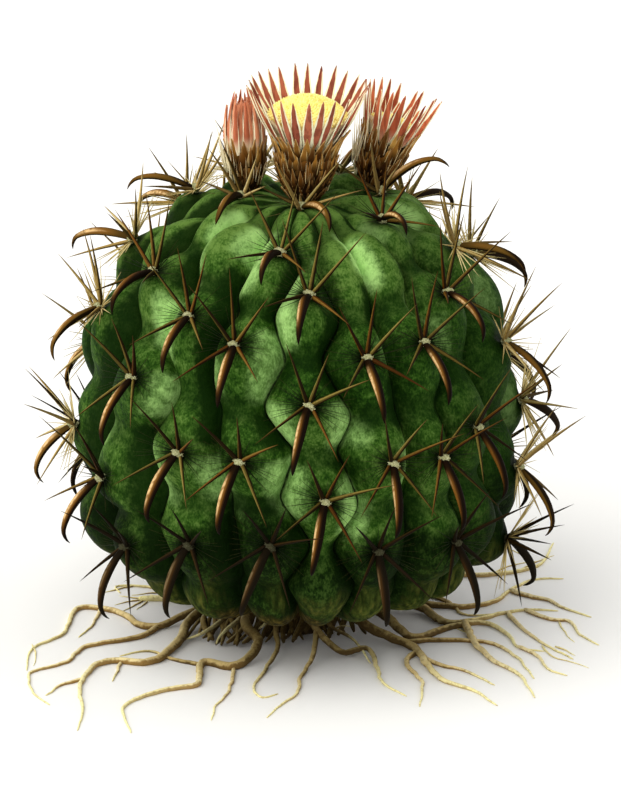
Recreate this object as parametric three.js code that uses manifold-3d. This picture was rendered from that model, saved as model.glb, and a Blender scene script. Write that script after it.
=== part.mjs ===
import * as THREE from "three";
import { mergeVertices } from "three/addons/utils/BufferGeometryUtils.js";
import Module from "manifold-3d";

// A devil's tongue barrel cactus in flower, lifted out of the ground and standing on its bare roots.
// Lengths are millimetres and +Z is up. The floor is z = 0 and the plant's front faces -Y. The origin is the
// middle of the flat underside of the root crown, below the stem's axis.
// Angles round the stem are degrees from the front, positive towards +X.

const wasm = await Module();
wasm.setup();

// The stem: a squat barrel, its outline a rounded square that is fuller below than above
const STEM = { radius: 98, middle: 106, up: 105, down: 82, upRoundness: 2.2, downRoundness: 4.6 };
const APEX_DIP = { depth: 7, reach: 24 };
const SEAT = { radius: 40, height: 24 }; // the flat under the stem, where the root crown joins it
const RIB_DEPTH = 16;
const FULL_RIB = 28; // the furrow beside a narrower rib is shallower in proportion
const RIB_WIDTH_SWAY = 3; // degrees that a furrow gives way beside a swelling
const SWELLING = { height: 9, level: 0.62, drop: 3 }; // between notches, centred a little below its areole
const RIB_FADE = { apex: [5, 36], base: 52 }; // ribs rise between these arc lengths and fade over the last
const RIB_FULLNESS = 0.985; // a rib's section is an arc of an ellipse: at 1 its sides would fall straight in
const SKIN = { rows: 34, across: [-0.55, 0, 0.55, 1] }; // rings of points down the stem, points across a rib

// The swellings down each rib's crest: [arc length from the apex, degrees round the stem]. A third number is
// the twist of the areole there, degrees by which its hook leans right. Without one no areole grows there
const FRONT_RIBS = [
  [[50, -113, 20], [98, -116], [146, -118, 0], [194, -118, 0]],
  [[80, -95, -28], [128, -98], [177, -99]],
  [[61, -76], [108, -79, 30], [168, -86, -12], [208, -82]],
  [[36, -62], [80, -60, 26], [126, -50, 11], [178, -61, -8], [206, -51, 0]],
  [[50, -41], [93, -36, 12], [153, -32, -10], [196, -29, -5]],
  [[57, -8, -8], [102, -19, 3], [153, -15, -9], [192, -7, -22]],
  [[78, 4, -13], [127, 3, -16], [171, 7, -15]],
  [[108, 20, -2], [156, 25, -11], [197, 21, -2]],
  [[106, 39, -13], [158, 40, -3], [201, 45, 0]],
  [[46, 55, -38], [89, 56, -25], [150, 53, -6], [199, 60]],
  [[76, 81, 0], [123, 76, -20], [184, 79, -9], [219, 80, 34]],
  [[50, 98], [105, 97], [160, 92, 36], [204, 96]],
];
// The ribs behind, evenly turned, their areoles untwisted and evenly spaced by arc length
const BACK_RIBS = { count: 6, from: 95, to: 246, spacing: 48, firstAreoles: [54, 78], lastArc: 215 };

// An areole's pad, six-sided: a spine grows from each sector between two of the rim's turns. A turn is
// degrees clockwise from the apex side, seen from outside, and a tilt is degrees away from the stem's normal
const PAD = { radius: 3.2, foot: 2.6, rise: 0.7, crown: 1.3, depth: 4 };
const PAD_RIM = [-18, 22, 90, 140, 220, 270];
const GROWN_SPINES = [
  { turn: 2, tilt: 55, length: 33 },
  { turn: 42, tilt: 52, length: 36 },
  { turn: 136, tilt: 58, length: 31 },
  "hook",
  { turn: 226, tilt: 60, length: 31 },
  { turn: 322, tilt: 54, length: 35 },
];
// The hooked spine, bending away from the apex: [out from the stem, down the rib, width, thickness]. Its
// section is a triangle with the ridge on the outer side
const HOOK = [[4, 4.5, 4.2, 3], [9.5, 10.5, 4.8, 3.6], [14, 17, 4.3, 3.2], [16.5, 24, 3, 2.2]];
const HOOK_TIP = [14.5, 31];
const HOOK_RIDGE = 0.6; // how far the ridge stands back towards the apex, for each millimetre of thickness
const SPINE_JITTER = { turn: 5, tilt: 5, length: 0.1 };
const SEEDS = { rib: 10, crown: 500 }; // areoles are numbered by tens of their rib, the crown's from here
const SPINE_ROOM = { margin: 2.2, step: 1.5, least: 5 }; // kept clear round the flowers
const YOUNG = { size: 0.72, until: 80 }; // areoles are smaller up to this arc length

// Areoles at the feet of the flowers: x, y on the crown, degrees round the stem that the hook points to, and
// degrees that the areole nods that way. Their spines lean away from the tubes
const CROWN_AREOLES = [
  {
    at: [2, -11],
    turn: 21,
    nod: 25,
    spines: [
      { turn: 304, tilt: 17, length: 35 },
      { turn: 99, tilt: 22, length: 33 },
      { turn: 105, tilt: 55, length: 28 },
      "hook",
      { turn: 296, tilt: 34, length: 31 },
      { turn: 302, tilt: 70, length: 20 },
    ],
  },
  {
    at: [-26, 1],
    turn: -19,
    nod: 28,
    spines: [
      { turn: 305, tilt: 12, length: 29 },
      { turn: 48, tilt: 24, length: 24 },
      { turn: 90, tilt: 47, length: 17 },
      "hook",
      { turn: 262, tilt: 61, length: 20 },
      { turn: 285, tilt: 31, length: 29 },
    ],
  },
  {
    at: [38, 14],
    turn: 80,
    nod: 0,
    spines: [
      { turn: 348, tilt: 50, length: 22 },
      { turn: 75, tilt: 50, length: 14 },
      { turn: 130, tilt: 50, length: 15 },
      "hook",
      { turn: 205, tilt: 30, length: 19 },
      { turn: 302, tilt: 15, length: 29 },
    ],
  },
];

// Flowers: a scaly tube, a ring of pointed tepals, the stamens. Outlines are [radius, height] over the foot
const FLOWERS = [
  {
    name: "flower_centre",
    foot: [3, 4],
    lean: [2, 80],
    tube: [[6, 0], [11.5, 8], [14, 18], [13, 29]],
    scales: { around: 10, rows: 7 },
    tepals: { count: 26, rows: [[13, 29], [20, 39]], tips: [[28, 54], [26, 56]], wall: 1.2, throat: 33 },
    stamens: [[18.3, 39.5], [13.5, 44.5], [6.5, 47]],
  },
  {
    name: "flower_right",
    foot: [33, 31],
    lean: [21, 115],
    tube: [[6, 0], [10, 6], [11.5, 14], [10, 23]],
    scales: { around: 9, rows: 6 },
    tepals: { count: 20, rows: [[10, 23], [12.5, 30]], tips: [[16.5, 45], [14, 44]], wall: 1.2, throat: 25 },
    stamens: [[10.5, 30.4], [7, 32], [3, 33]],
  },
  {
    name: "flower_left",
    foot: [-23, 14],
    lean: [2, -80],
    tube: [[5, 0], [8, 6], [8.8, 12], [8, 18]],
    scales: { around: 8, rows: 5 },
    tepals: { count: 14, rows: [[8, 18], [8.6, 29]], tips: [[5.5, 42], [3, 44]], wall: 4, throat: 36 },
  },
];
const FLOWER_GROUND = 20; // no areole of the ribs grows nearer to a flower's foot
const FLOWER_SINK = 7; // how far the tube's outline goes on below the foot, before the stem cuts it
const SCALE = { rise: 4.5, out: 2.4, groove: 0.8 }; // each scale's free tip, and the furrow beside it
const TEPAL_KEEL = 0.7;
const STAMENS = { sides: 18, knob: 0.9, top: 0.6 };
const CLEARANCE = 0.3; // between a flower's pieces, and between its tube and the stem

// The root crown under the stem: [radius, height]
const ROOT_CROWN = [[14, 0], [17, 8], [25, 17], [37, 24]];
// Roots: radius at the start and the route over the floor as x, y. They run from the left over the front to
// the right, and the last three are short and broken off
const ROOTS = [
  {
    thick: 2.2,
    route: [[-20, 2], [-50, 1], [-68, -8], [-84, 14], [-100, 18], [-107, -14], [-121, -34], [-123, -60]],
    branches: [
      {
        thick: 1.4,
        route: [[-64, -5], [-72, -19], [-98, -33], [-105, -51], [-121, -64], [-119, -90], [-112, -104]],
      },
      { thick: 0.9, route: [[-90, 16], [-94, -3], [-100, -18]] },
    ],
  },
  {
    thick: 2.9,
    route: [[-16, -4], [-46, -5], [-55, -30], [-68, -53], [-87, -51], [-98, -76], [-97, -112], [-99, -136]],
    branches: [
      { thick: 1, route: [[-97, -72], [-107, -80], [-114, -92]] },
      { thick: 0.9, route: [[-80, -53], [-84, -74]] },
    ],
  },
  {
    thick: 2.9,
    route: [
      [-12, -8],
      [-24, -26],
      [-18, -42],
      [-30, -59],
      [-43, -53],
      [-46, -80],
      [-62, -88],
      [-78, -106],
      [-75, -139],
    ],
    branches: [
      { thick: 1.1, route: [[-43, -54], [-56, -48], [-68, -36], [-81, -42]] },
      { thick: 1, route: [[-29, -58], [-31, -86], [-37, -106], [-39, -123]] },
    ],
  },
  { thick: 1.7, route: [[-1, -10], [-10, -32], [-9, -43], [-15, -62], [-20, -84], [-16, -95], [-9, -90]] },
  {
    thick: 2.2,
    route: [[3, -10], [8, -33], [21, -47], [32, -41], [36, -60], [39, -78], [49, -93]],
    branches: [{ thick: 1.4, route: [[8, -34], [7, -50], [2, -66], [-1, -92], [-8, -105], [-14, -120]] }],
  },
  { thick: 1.4, route: [[8, -9], [14, -28], [27, -38], [33, -52]] },
  {
    thick: 2.9,
    route: [[12, -10], [34, -27], [51, -33], [59, -56], [66, -75], [79, -86], [90, -105]],
    branches: [
      { thick: 1.4, route: [[54, -38], [49, -50], [56, -76], [55, -106]] },
      { thick: 1.2, route: [[56, -46], [66, -56], [74, -60], [89, -79]] },
      { thick: 1.4, route: [[47, -31], [60, -24], [88, -27], [100, -46], [107, -71]] },
    ],
  },
  {
    thick: 2.9,
    route: [[16, -3], [40, -12], [52, -25], [68, -9], [84, -1], [95, -14], [101, -32], [112, -36]],
    branches: [{ thick: 1, route: [[100, -30], [109, -43], [114, -60], [122, -67]] }],
  },
  {
    thick: 3.1,
    route: [[16, 4], [56, 14], [67, -2], [80, 1], [92, 11], [106, 17], [119, 16]],
    branches: [
      { thick: 1.9, route: [[76, 0], [80, -25], [89, -50], [100, -66], [107, -95]] },
      { thick: 1.1, route: [[95, 12], [101, -4], [112, -27], [125, -46]] },
      { thick: 1.1, route: [[104, 16], [115, 4], [123, 3], [129, -16], [137, -28]] },
    ],
  },
  {
    thick: 2.4,
    route: [[15, 8], [52, 22], [76, 19], [90, 27], [99, 45], [110, 57], [122, 58]],
    branches: [{ thick: 1.3, route: [[97, 42], [104, 35], [114, 29], [123, 18], [134, 8]] }],
  },
  { thick: 2.6, route: [[-14, -5], [-30, -14], [-41, -22], [-52, -24]] },
  { thick: 2.6, route: [[-10, -7], [-26, -20], [-36, -30], [-37, -34]] },
  { thick: 2.4, route: [[-7, -9], [-14, -26], [-18, -30]] },
];
const BACK_ROOTS = [[1, 205], [2, 160], [4, 200], [3, 250]]; // the root each one repeats, and its turn
const ROOT = { tip: 0.5, step: 12, fewestSteps: 3, sides: 5, crownSides: 20 };
const ROOT_LIFT = { height: 12, from: 18, until: 66 }; // above the floor at the crown, on it further out

// The stem's surface

const RAD = Math.PI / 180;
const smooth = THREE.MathUtils.smoothstep;

function barrelPoint(angle) {
  const upper = angle < Math.PI / 2;
  const power = 2 / (upper ? STEM.upRoundness : STEM.downRoundness);
  const reach = upper ? STEM.up : -STEM.down;
  const r = STEM.radius * Math.sin(angle) ** power;
  const dip = upper ? APEX_DIP.depth * Math.exp(-((r / APEX_DIP.reach) ** 2)) : 0;
  return [r, STEM.middle + reach * Math.abs(Math.cos(angle)) ** power - dip];
}

const OUTLINE = [];
const OUTLINE_STEPS = 1800;
const NORMAL_SPAN = 20; // outline steps to either side of a point that give its normal
for (let i = 0; i <= OUTLINE_STEPS; i++) {
  const [r, z] = barrelPoint((Math.PI * i) / OUTLINE_STEPS);
  const last = OUTLINE[i - 1];
  OUTLINE.push({ r, z, arc: last ? last.arc + Math.hypot(r - last.r, z - last.z) : 0 });
}
const SEAT_ARC = OUTLINE.findLast((p) => p.r > SEAT.radius).arc;

// The barrel's outline at an arc length from the apex: radius, height and outward normal
function outlineAt(arc) {
  let low = 0;
  let high = OUTLINE_STEPS;
  while (high - low > 1) {
    const middle = (low + high) >> 1;
    if (OUTLINE[middle].arc <= arc) low = middle;
    else high = middle;
  }
  const [a, b] = [OUTLINE[low], OUTLINE[high]];
  const share = THREE.MathUtils.clamp((arc - a.arc) / (b.arc - a.arc), 0, 1);
  const before = OUTLINE[Math.max(0, low - NORMAL_SPAN)];
  const after = OUTLINE[Math.min(OUTLINE_STEPS, high + NORMAL_SPAN)];
  const length = Math.hypot(after.r - before.r, after.z - before.z);
  return {
    r: a.r + share * (b.r - a.r),
    z: a.z + share * (b.z - a.z),
    normal: [(before.z - after.z) / length, (after.r - before.r) / length],
  };
}

function backRib(index) {
  const turn = BACK_RIBS.from + ((index + 1) * (BACK_RIBS.to - BACK_RIBS.from)) / (BACK_RIBS.count + 1);
  const areoles = [];
  for (let arc = BACK_RIBS.firstAreoles[index % 2]; arc < BACK_RIBS.lastArc; arc += BACK_RIBS.spacing) {
    areoles.push([arc, turn, 0]);
  }
  return areoles;
}

const RIBS = [...FRONT_RIBS, ...Array.from({ length: BACK_RIBS.count }, (_, index) => backRib(index))];

// Degrees round the stem of a rib's crest at an arc length
function crestTurn(rib, arc) {
  const next = rib.findIndex(([at]) => at > arc);
  if (next === 0) return rib[0][1];
  if (next < 0) return rib.at(-1)[1];
  const [a, b] = [rib[next - 1], rib[next]];
  return a[1] + (b[1] - a[1]) * smooth(arc, a[0], b[0]);
}

// 1 at the middle of a swelling and 0 in the notches between
function swellingAt(rib, arc) {
  const spots = rib.map(([at]) => at + SWELLING.drop);
  const first = spots[0] - BACK_RIBS.spacing;
  const all = [first - BACK_RIBS.spacing, first, ...spots, spots.at(-1) + BACK_RIBS.spacing];
  const next = all.findIndex((at) => at > arc);
  if (next <= 0) return 0;
  const share = (arc - all[next - 1]) / (all[next] - all[next - 1]);
  return 1 - (2 * Math.min(share, 1 - share)) ** 2;
}

// A point of the stem: across is 0 on the rib's crest and -1 or 1 in the furrows beside it
function stemPoint(ribIndex, across, arc) {
  const rib = RIBS[ribIndex];
  const side = across < 0 ? -1 : 1;
  const neighbour = RIBS[(ribIndex + side + RIBS.length) % RIBS.length];
  const here = crestTurn(rib, arc);
  let there = crestTurn(neighbour, arc);
  while (side * (there - here) < 0) there += side * 360;
  const swell = swellingAt(rib, arc);
  const furrow = (here + there) / 2 + side * RIB_WIDTH_SWAY * (swell - swellingAt(neighbour, arc));
  const turn = (here + Math.abs(across) * (furrow - here)) * RAD;
  const { r, z, normal } = outlineAt(arc);
  const depth = RIB_DEPTH * Math.min(1, (Math.abs(there - here) * RAD * r) / FULL_RIB);
  const fade = smooth(arc, ...RIB_FADE.apex) * (1 - smooth(arc, SEAT_ARC - RIB_FADE.base, SEAT_ARC));
  const round = 1 - Math.sqrt(1 - (RIB_FULLNESS * across) ** 2);
  const lift = fade * (SWELLING.height * (swell - SWELLING.level) * (1 - round) - depth * round);
  const radius = r + lift * normal[0];
  return new THREE.Vector3(radius * Math.sin(turn), -radius * Math.cos(turn), z + lift * normal[1]);
}

// Closed solids

// A closed manifold-3d solid of a closed geometry, with its faces pointing out
function solidOf(geometry) {
  const bare = new THREE.BufferGeometry().setIndex(geometry.index);
  bare.setAttribute("position", geometry.getAttribute("position"));
  const merged = mergeVertices(bare, 1e-4);
  const vertProperties = merged.attributes.position.array;
  const build = (triVerts) => new wasm.Manifold(new wasm.Mesh({ numProp: 3, vertProperties, triVerts }));
  const faces = new Uint32Array(merged.index.array);
  const solid = build(faces);
  return solid.volume() > 0 ? solid : build(faces.reverse());
}

function geometryOf(solid) {
  const { numProp, vertProperties, triVerts } = solid.getMesh();
  const points = new Float32Array((vertProperties.length / numProp) * 3);
  for (let i = 0; i * numProp < vertProperties.length; i++) {
    points.set(vertProperties.subarray(i * numProp, i * numProp + 3), i * 3);
  }
  const geometry = new THREE.BufferGeometry();
  geometry.setAttribute("position", new THREE.BufferAttribute(points, 3));
  geometry.setIndex(new THREE.BufferAttribute(new Uint32Array(triVerts), 1));
  geometry.computeVertexNormals();
  return geometry;
}

function joined(geometries) {
  return geometries.map(solidOf).reduce((whole, piece) => whole.add(piece));
}

// A closed skin through rings of equally many points, drawn to a point before the first and after the last
function loft(start, rings, end) {
  const points = [start, ...rings.flat(), end];
  const size = rings[0].length;
  const faces = [];
  for (let i = 0; i < size; i++) {
    const next = (i + 1) % size;
    faces.push(0, 1 + next, 1 + i);
    for (let ring = 0; ring < rings.length - 1; ring++) {
      const a = 1 + ring * size + i;
      const b = 1 + ring * size + next;
      faces.push(a, b, a + size, b, b + size, a + size);
    }
    const last = 1 + (rings.length - 1) * size;
    faces.push(last + i, last + next, points.length - 1);
  }
  return new THREE.BufferGeometry().setFromPoints(points).setIndex(faces);
}

// The same draw for the same numbers, from -1 to 1
function draw(...numbers) {
  const mixed = numbers.reduce((sum, number, i) => sum + number * (12.9898 + 65.2431 * i), 0.5);
  const value = Math.sin(mixed) * 43758.5453;
  return 2 * (value - Math.floor(value)) - 1;
}

// Flower frames

function crownHeight(x, y) {
  return OUTLINE.find((point) => point.r >= Math.hypot(x, y)).z;
}

// The radius at a height of an outline of [radius, height] points
function radiusAt(outline, height) {
  const next = Math.max(1, outline.findIndex(([, h]) => h >= height));
  const [[r0, h0], [r1, h1]] = [outline[next - 1], outline[next]];
  return r0 + ((height - h0) / (h1 - h0)) * (r1 - r0);
}

function flowerFrame({ foot: [x, y], lean: [lean, turn] }) {
  const axis = new THREE.Vector3(Math.cos(turn * RAD), Math.sin(turn * RAD), 0);
  const leant = new THREE.Matrix4().makeRotationAxis(axis, lean * RAD);
  return new THREE.Matrix4().makeTranslation(x, y, crownHeight(x, y)).multiply(leant);
}

// The space that each flower takes: its own axes, and an outline with room for the scales
const FLOWER_SPACES = FLOWERS.map((flower) => {
  const scaly = flower.tube.map(([r, h]) => [r + SCALE.out, h]);
  return {
    frame: flowerFrame(flower),
    outline: [...scaly, ...flower.tepals.rows.slice(1), flower.tepals.tips[0]],
  };
});

// Spines

// A direction from an areole's own axes
function leaning(axes, turn, tilt) {
  const aside = Math.sin(tilt * RAD);
  return new THREE.Vector3()
    .addScaledVector(axes.out, Math.cos(tilt * RAD))
    .addScaledVector(axes.up, aside * Math.cos(turn * RAD))
    .addScaledVector(axes.right, aside * Math.sin(turn * RAD));
}

// How long a spine can be before it comes within the margin of a flower
function clearLength(start, direction, length) {
  const point = new THREE.Vector3();
  for (const { frame, outline } of FLOWER_SPACES) {
    const inverse = frame.clone().invert();
    for (let reach = 0; reach < length; reach += SPINE_ROOM.step) {
      point.copy(start).addScaledVector(direction, reach).applyMatrix4(inverse);
      if (point.z > outline.at(-1)[1] || point.z < 0) continue;
      if (Math.hypot(point.x, point.y) < radiusAt(outline, point.z) + SPINE_ROOM.margin) {
        length = Math.max(reach, SPINE_ROOM.least);
      }
    }
  }
  return length;
}

// An areole: a low pad sunk in the stem, with a spine raised from each of its sectors
function areole(axes, spines, size, seed) {
  const place = (out, up, right) => {
    const point = axes.at.clone().addScaledVector(axes.out, out);
    return point.addScaledVector(axes.up, up).addScaledVector(axes.right, right);
  };
  const rim = (radius, out) =>
    PAD_RIM.map((turn) => place(out, radius * Math.cos(turn * RAD), radius * Math.sin(turn * RAD)));
  const sides = PAD_RIM.length;
  const points = [place(PAD.crown, 0, 0), place(-PAD.depth, 0, 0)];
  const top = points.length;
  points.push(...rim(PAD.radius * size, PAD.rise));
  const foot = points.length;
  points.push(...rim(PAD.foot * size, -PAD.depth));
  const faces = [];
  spines.forEach((spine, i) => {
    const next = (i + 1) % sides;
    faces.push(1, foot + next, foot + i, foot + i, foot + next, top + i, foot + next, top + next, top + i);
    let ring = [top + i, top + next, 0];
    if (spine === "hook") {
      for (const [out, down, width, thickness] of HOOK) {
        const first = points.length;
        points.push(
          place(out * size, -down * size, (width * size) / 2),
          place(out * size, -down * size, (-width * size) / 2),
          place((out + thickness) * size, (thickness * HOOK_RIDGE - down) * size, 0),
        );
        const outer = [first, first + 1, first + 2];
        for (let k = 0; k < 3; k++) {
          const after = (k + 1) % 3;
          faces.push(ring[k], ring[after], outer[k], ring[after], outer[after], outer[k]);
        }
        ring = outer;
      }
      points.push(place(HOOK_TIP[0] * size, -HOOK_TIP[1] * size, 0));
    } else {
      const turn = spine.turn + SPINE_JITTER.turn * draw(seed, i, 1);
      const tilt = spine.tilt + SPINE_JITTER.tilt * draw(seed, i, 2);
      const length = spine.length * size * (1 + SPINE_JITTER.length * draw(seed, i, 3));
      const middle = points[0].clone().add(points[top + i]).add(points[top + next]).divideScalar(3);
      const direction = leaning(axes, turn, tilt);
      points.push(middle.clone().addScaledVector(direction, clearLength(middle, direction, length)));
    }
    const end = points.length - 1;
    faces.push(ring[0], ring[1], end, ring[1], ring[2], end, ring[2], ring[0], end);
  });
  return new THREE.BufferGeometry().setFromPoints(points).setIndex(faces);
}

// An areole's own axes, for a normal given by its parts away from the stem's axis and up
function axesAt(at, [aside, up], turn, twist) {
  const out = new THREE.Vector3(aside * Math.sin(turn * RAD), -aside * Math.cos(turn * RAD), up);
  const right = new THREE.Vector3(Math.cos(turn * RAD), Math.sin(turn * RAD), 0);
  right.applyAxisAngle(out, twist * RAD);
  return { at, out, right, up: new THREE.Vector3().crossVectors(out, right) };
}

function ribAreoles() {
  return RIBS.flatMap((rib, index) =>
    rib.flatMap(([arc, turn, twist], place) => {
      if (twist === undefined) return [];
      const at = stemPoint(index, 0, arc);
      if (FLOWERS.some(({ foot: [x, y] }) => Math.hypot(at.x - x, at.y - y) < FLOWER_GROUND)) return [];
      const size = THREE.MathUtils.lerp(YOUNG.size, 1, smooth(arc, 0, YOUNG.until));
      const axes = axesAt(at, outlineAt(arc).normal, turn, twist);
      return [areole(axes, GROWN_SPINES, size, index * SEEDS.rib + place)];
    }),
  );
}

function crownAreoles() {
  return CROWN_AREOLES.map(({ at: [x, y], turn, nod, spines }, index) => {
    const normal = [Math.sin(nod * RAD), Math.cos(nod * RAD)];
    const axes = axesAt(new THREE.Vector3(x, y, crownHeight(x, y)), normal, turn, 0);
    return areole(axes, spines, 1, SEEDS.crown + index);
  });
}

function barrel() {
  const ringAt = (arc) => RIBS.flatMap((_, rib) => SKIN.across.map((across) => stemPoint(rib, across, arc)));
  const rings = Array.from({ length: SKIN.rows }, (_, row) => ringAt(((row + 1) / SKIN.rows) * SEAT_ARC));
  rings.at(-1).forEach((point) => point.setZ(SEAT.height));
  return loft(new THREE.Vector3(0, 0, OUTLINE[0].z), rings, new THREE.Vector3(0, 0, SEAT.height));
}

// Flowers

function lathe(outline, segments) {
  const profile = outline.map(([r, h]) => new THREE.Vector2(r, h));
  const closed = [new THREE.Vector2(0, profile[0].y), ...profile, new THREE.Vector2(0, profile.at(-1).y)];
  return new THREE.LatheGeometry(closed, segments).rotateX(Math.PI / 2);
}

function around(radius, turn, height) {
  return new THREE.Vector3(radius * Math.sin(turn), -radius * Math.cos(turn), height);
}

// The flower's tube: every other point of a row is drawn out and up into a scale's tip, over the row above
function scalyTube({ tube, scales }) {
  const [[footRadius], topHeight] = [tube[0], tube.at(-1)[1]];
  const size = 2 * scales.around;
  const ring = (radiusOf, height) =>
    Array.from({ length: size }, (_, i) => around(radiusOf(i), (i / size) * 2 * Math.PI, height));
  const rings = [ring(() => footRadius, -FLOWER_SINK)];
  for (let row = 0; row < scales.rows; row++) {
    const height = (row / scales.rows) * topHeight;
    const radius = radiusAt(tube, height);
    const isTip = (i) => (i + row) % 2 === 0;
    const points = ring((i) => radius + (isTip(i) ? SCALE.out : -SCALE.groove), height);
    points.forEach((point, i) => point.setZ(height + (isTip(i) ? SCALE.rise : 0)));
    rings.push(points);
  }
  rings.push(ring(() => tube.at(-1)[0], topHeight));
  return solidOf(loft(new THREE.Vector3(0, 0, -FLOWER_SINK), rings, new THREE.Vector3(0, 0, topHeight)));
}

// A ring of tepals: one cup up to the row where they part, then a keeled blade drawn to a tip from each
function tepalRing({ count, rows, tips, wall, throat }) {
  const size = 2 * count;
  const [partRadius, partHeight] = rows.at(-1);
  const ring = (radius, height, keel) =>
    Array.from({ length: size }, (_, i) => around(radius + (i % 2) * keel, (i / size) * 2 * Math.PI, height));
  const outer = rows.map(([radius, height]) => ring(radius, height, TEPAL_KEEL));
  const ends = Array.from({ length: count }, (_, i) => {
    const [radius, height] = tips[i % tips.length];
    return around(radius, ((i + 0.5) / count) * 2 * Math.PI, height);
  });
  const points = [new THREE.Vector3(0, 0, rows[0][1]), ...outer.flat()];
  const parting = points.length - size;
  const inner = points.length;
  points.push(...ring(partRadius - wall, partHeight, 0));
  const tip = points.length;
  points.push(...ends, new THREE.Vector3(0, 0, throat));
  const faces = [];
  for (let i = 0; i < size; i++) {
    const next = (i + 1) % size;
    const end = tip + Math.floor(i / 2);
    faces.push(0, 1 + next, 1 + i);
    for (let a = 1; a < parting; a += size) {
      faces.push(a + i, a + next, a + size + i, a + next, a + size + next, a + size + i);
    }
    faces.push(parting + i, parting + next, end, inner + next, inner + i, end);
    faces.push(inner + i, inner + next, points.length - 1);
    const side = i % 2 ? next : i;
    faces.push(...(i % 2 ? [parting + side, inner + side, end] : [inner + side, parting + side, end]));
  }
  return solidOf(new THREE.BufferGeometry().setFromPoints(points).setIndex(faces));
}

// The stamens: a knobbly dome that fills the throat
function stamenDome({ tepals, stamens }) {
  const [[edge, edgeHeight]] = stamens;
  const rings = stamens.map(([radius, height], row) =>
    Array.from({ length: STAMENS.sides }, (_, i) => {
      const knob = row > 0 && (i + row) % 2 ? STAMENS.knob : 0;
      return around(radius, (i / STAMENS.sides) * 2 * Math.PI, height + knob);
    }),
  );
  const top = new THREE.Vector3(0, 0, stamens.at(-1)[1] + STAMENS.top);
  const [partRadius, partHeight] = tepals.rows.at(-1);
  const slope = (partHeight - tepals.throat) / (partRadius - tepals.wall);
  const bottom = new THREE.Vector3(0, 0, edgeHeight - edge * slope);
  return solidOf(loft(bottom, rings, top));
}

// Roots

// A root and its branches: tapered tubes with a flat side down. A branch starts at its parent's nearest ring
function rootTubes({ thick, route, branches = [] }) {
  const floorPoints = route.map(([x, y]) => new THREE.Vector3(x, y, 0));
  const curve = new THREE.CatmullRomCurve3(floorPoints, false, "centripetal");
  const steps = Math.max(ROOT.fewestSteps, Math.round(curve.getLength() / ROOT.step));
  const flat = Math.cos(Math.PI / ROOT.sides);
  const centres = Array.from({ length: steps + 1 }, (_, step) => {
    const centre = curve.getPointAt(step / steps);
    const lift = ROOT_LIFT.height * (1 - smooth(centre.length(), ROOT_LIFT.from, ROOT_LIFT.until));
    return centre.setZ(THREE.MathUtils.lerp(thick, ROOT.tip, step / steps) * flat + lift);
  });
  const rings = centres.slice(0, -1).map((centre, step) => {
    const radius = THREE.MathUtils.lerp(thick, ROOT.tip, step / steps);
    const along = curve.getTangentAt(step / steps);
    const aside = new THREE.Vector3(-along.y, along.x, 0);
    return Array.from({ length: ROOT.sides }, (_, side) => {
      const turn = ((side + 0.5) / ROOT.sides) * 2 * Math.PI;
      const point = centre.clone().addScaledVector(aside, radius * Math.sin(turn));
      return point.setZ(Math.max(0, centre.z - radius * Math.cos(turn)));
    });
  });
  const branching = branches.flatMap((branch) => {
    const [[x, y]] = branch.route;
    const away = (centre) => Math.hypot(centre.x - x, centre.y - y);
    const nearest = centres.reduce((best, centre) => (away(centre) < away(best) ? centre : best));
    return rootTubes({ ...branch, route: [[nearest.x, nearest.y], ...branch.route.slice(1)] });
  });
  return [loft(centres[0], rings, centres.at(-1)), ...branching];
}

function turned({ thick, route, branches = [] }, degrees) {
  const [cos, sin] = [Math.cos(degrees * RAD), Math.sin(degrees * RAD)];
  return {
    thick,
    route: route.map(([x, y]) => [x * cos - y * sin, x * sin + y * cos]),
    branches: branches.map((branch) => turned(branch, degrees)),
  };
}

function rootSystem() {
  const all = [...ROOTS, ...BACK_ROOTS.map(([index, turn]) => turned(ROOTS[index], turn))];
  return joined([lathe(ROOT_CROWN, ROOT.crownSides), ...all.flatMap(rootTubes)]);
}

// The plant

const FINISH = {
  stem: { color: "#2f6b3a", roughness: 0.55 },
  roots: { color: "#b09a6a", roughness: 0.85 },
  tube: { color: "#8a6a3a", roughness: 0.8 },
  tepals: { color: "#b9736a", roughness: 0.6 },
  stamens: { color: "#f2df7c", roughness: 0.8 },
};

function piece(name, solid, finish) {
  const mesh = new THREE.Mesh(geometryOf(solid), new THREE.MeshStandardMaterial(finish));
  mesh.name = name;
  return mesh;
}

const plant = new THREE.Group();
const stem = joined([barrel(), ...ribAreoles(), ...crownAreoles()]);
plant.add(piece("stem", stem, FINISH.stem));
plant.add(piece("root_system", rootSystem(), FINISH.roots));

for (const flower of FLOWERS) {
  const frame = flowerFrame(flower);
  const standing = (solid, lift) => {
    const raised = new THREE.Matrix4().makeTranslation(0, 0, lift);
    return geometryOf(solid).applyMatrix4(raised).applyMatrix4(frame);
  };
  const tube = solidOf(standing(scalyTube(flower), 0)).subtract(stem);
  const tubeMesh = piece(`${flower.name}_tube`, tube, FINISH.tube);
  tubeMesh.position.setFromMatrixColumn(frame, 2).multiplyScalar(CLEARANCE);
  plant.add(tubeMesh);
  const tepals = solidOf(standing(tepalRing(flower.tepals), 2 * CLEARANCE));
  plant.add(piece(`${flower.name}_tepals`, tepals, FINISH.tepals));
  if (flower.stamens) {
    const stamens = solidOf(standing(stamenDome(flower), 3 * CLEARANCE));
    plant.add(piece(`${flower.name}_stamens`, stamens, FINISH.stamens));
  }
}

export default plant;
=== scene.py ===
# %% [markdown]
# # A barrel cactus in flower, lifted out of the ground
# The plant is a squat ribbed barrel with hooked spines, three flowers on its crown and its whole root
# system bare. A measured model of it already exists: closed solids that give every size and place. Here
# each solid is dressed with a detailed piece that stands exactly where it stands. Lengths are millimetres,
# turned into Blender's metres where a mesh is filled. The plant's front faces -Y and +Z is up.

# %% Load the measured model
import math

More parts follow.
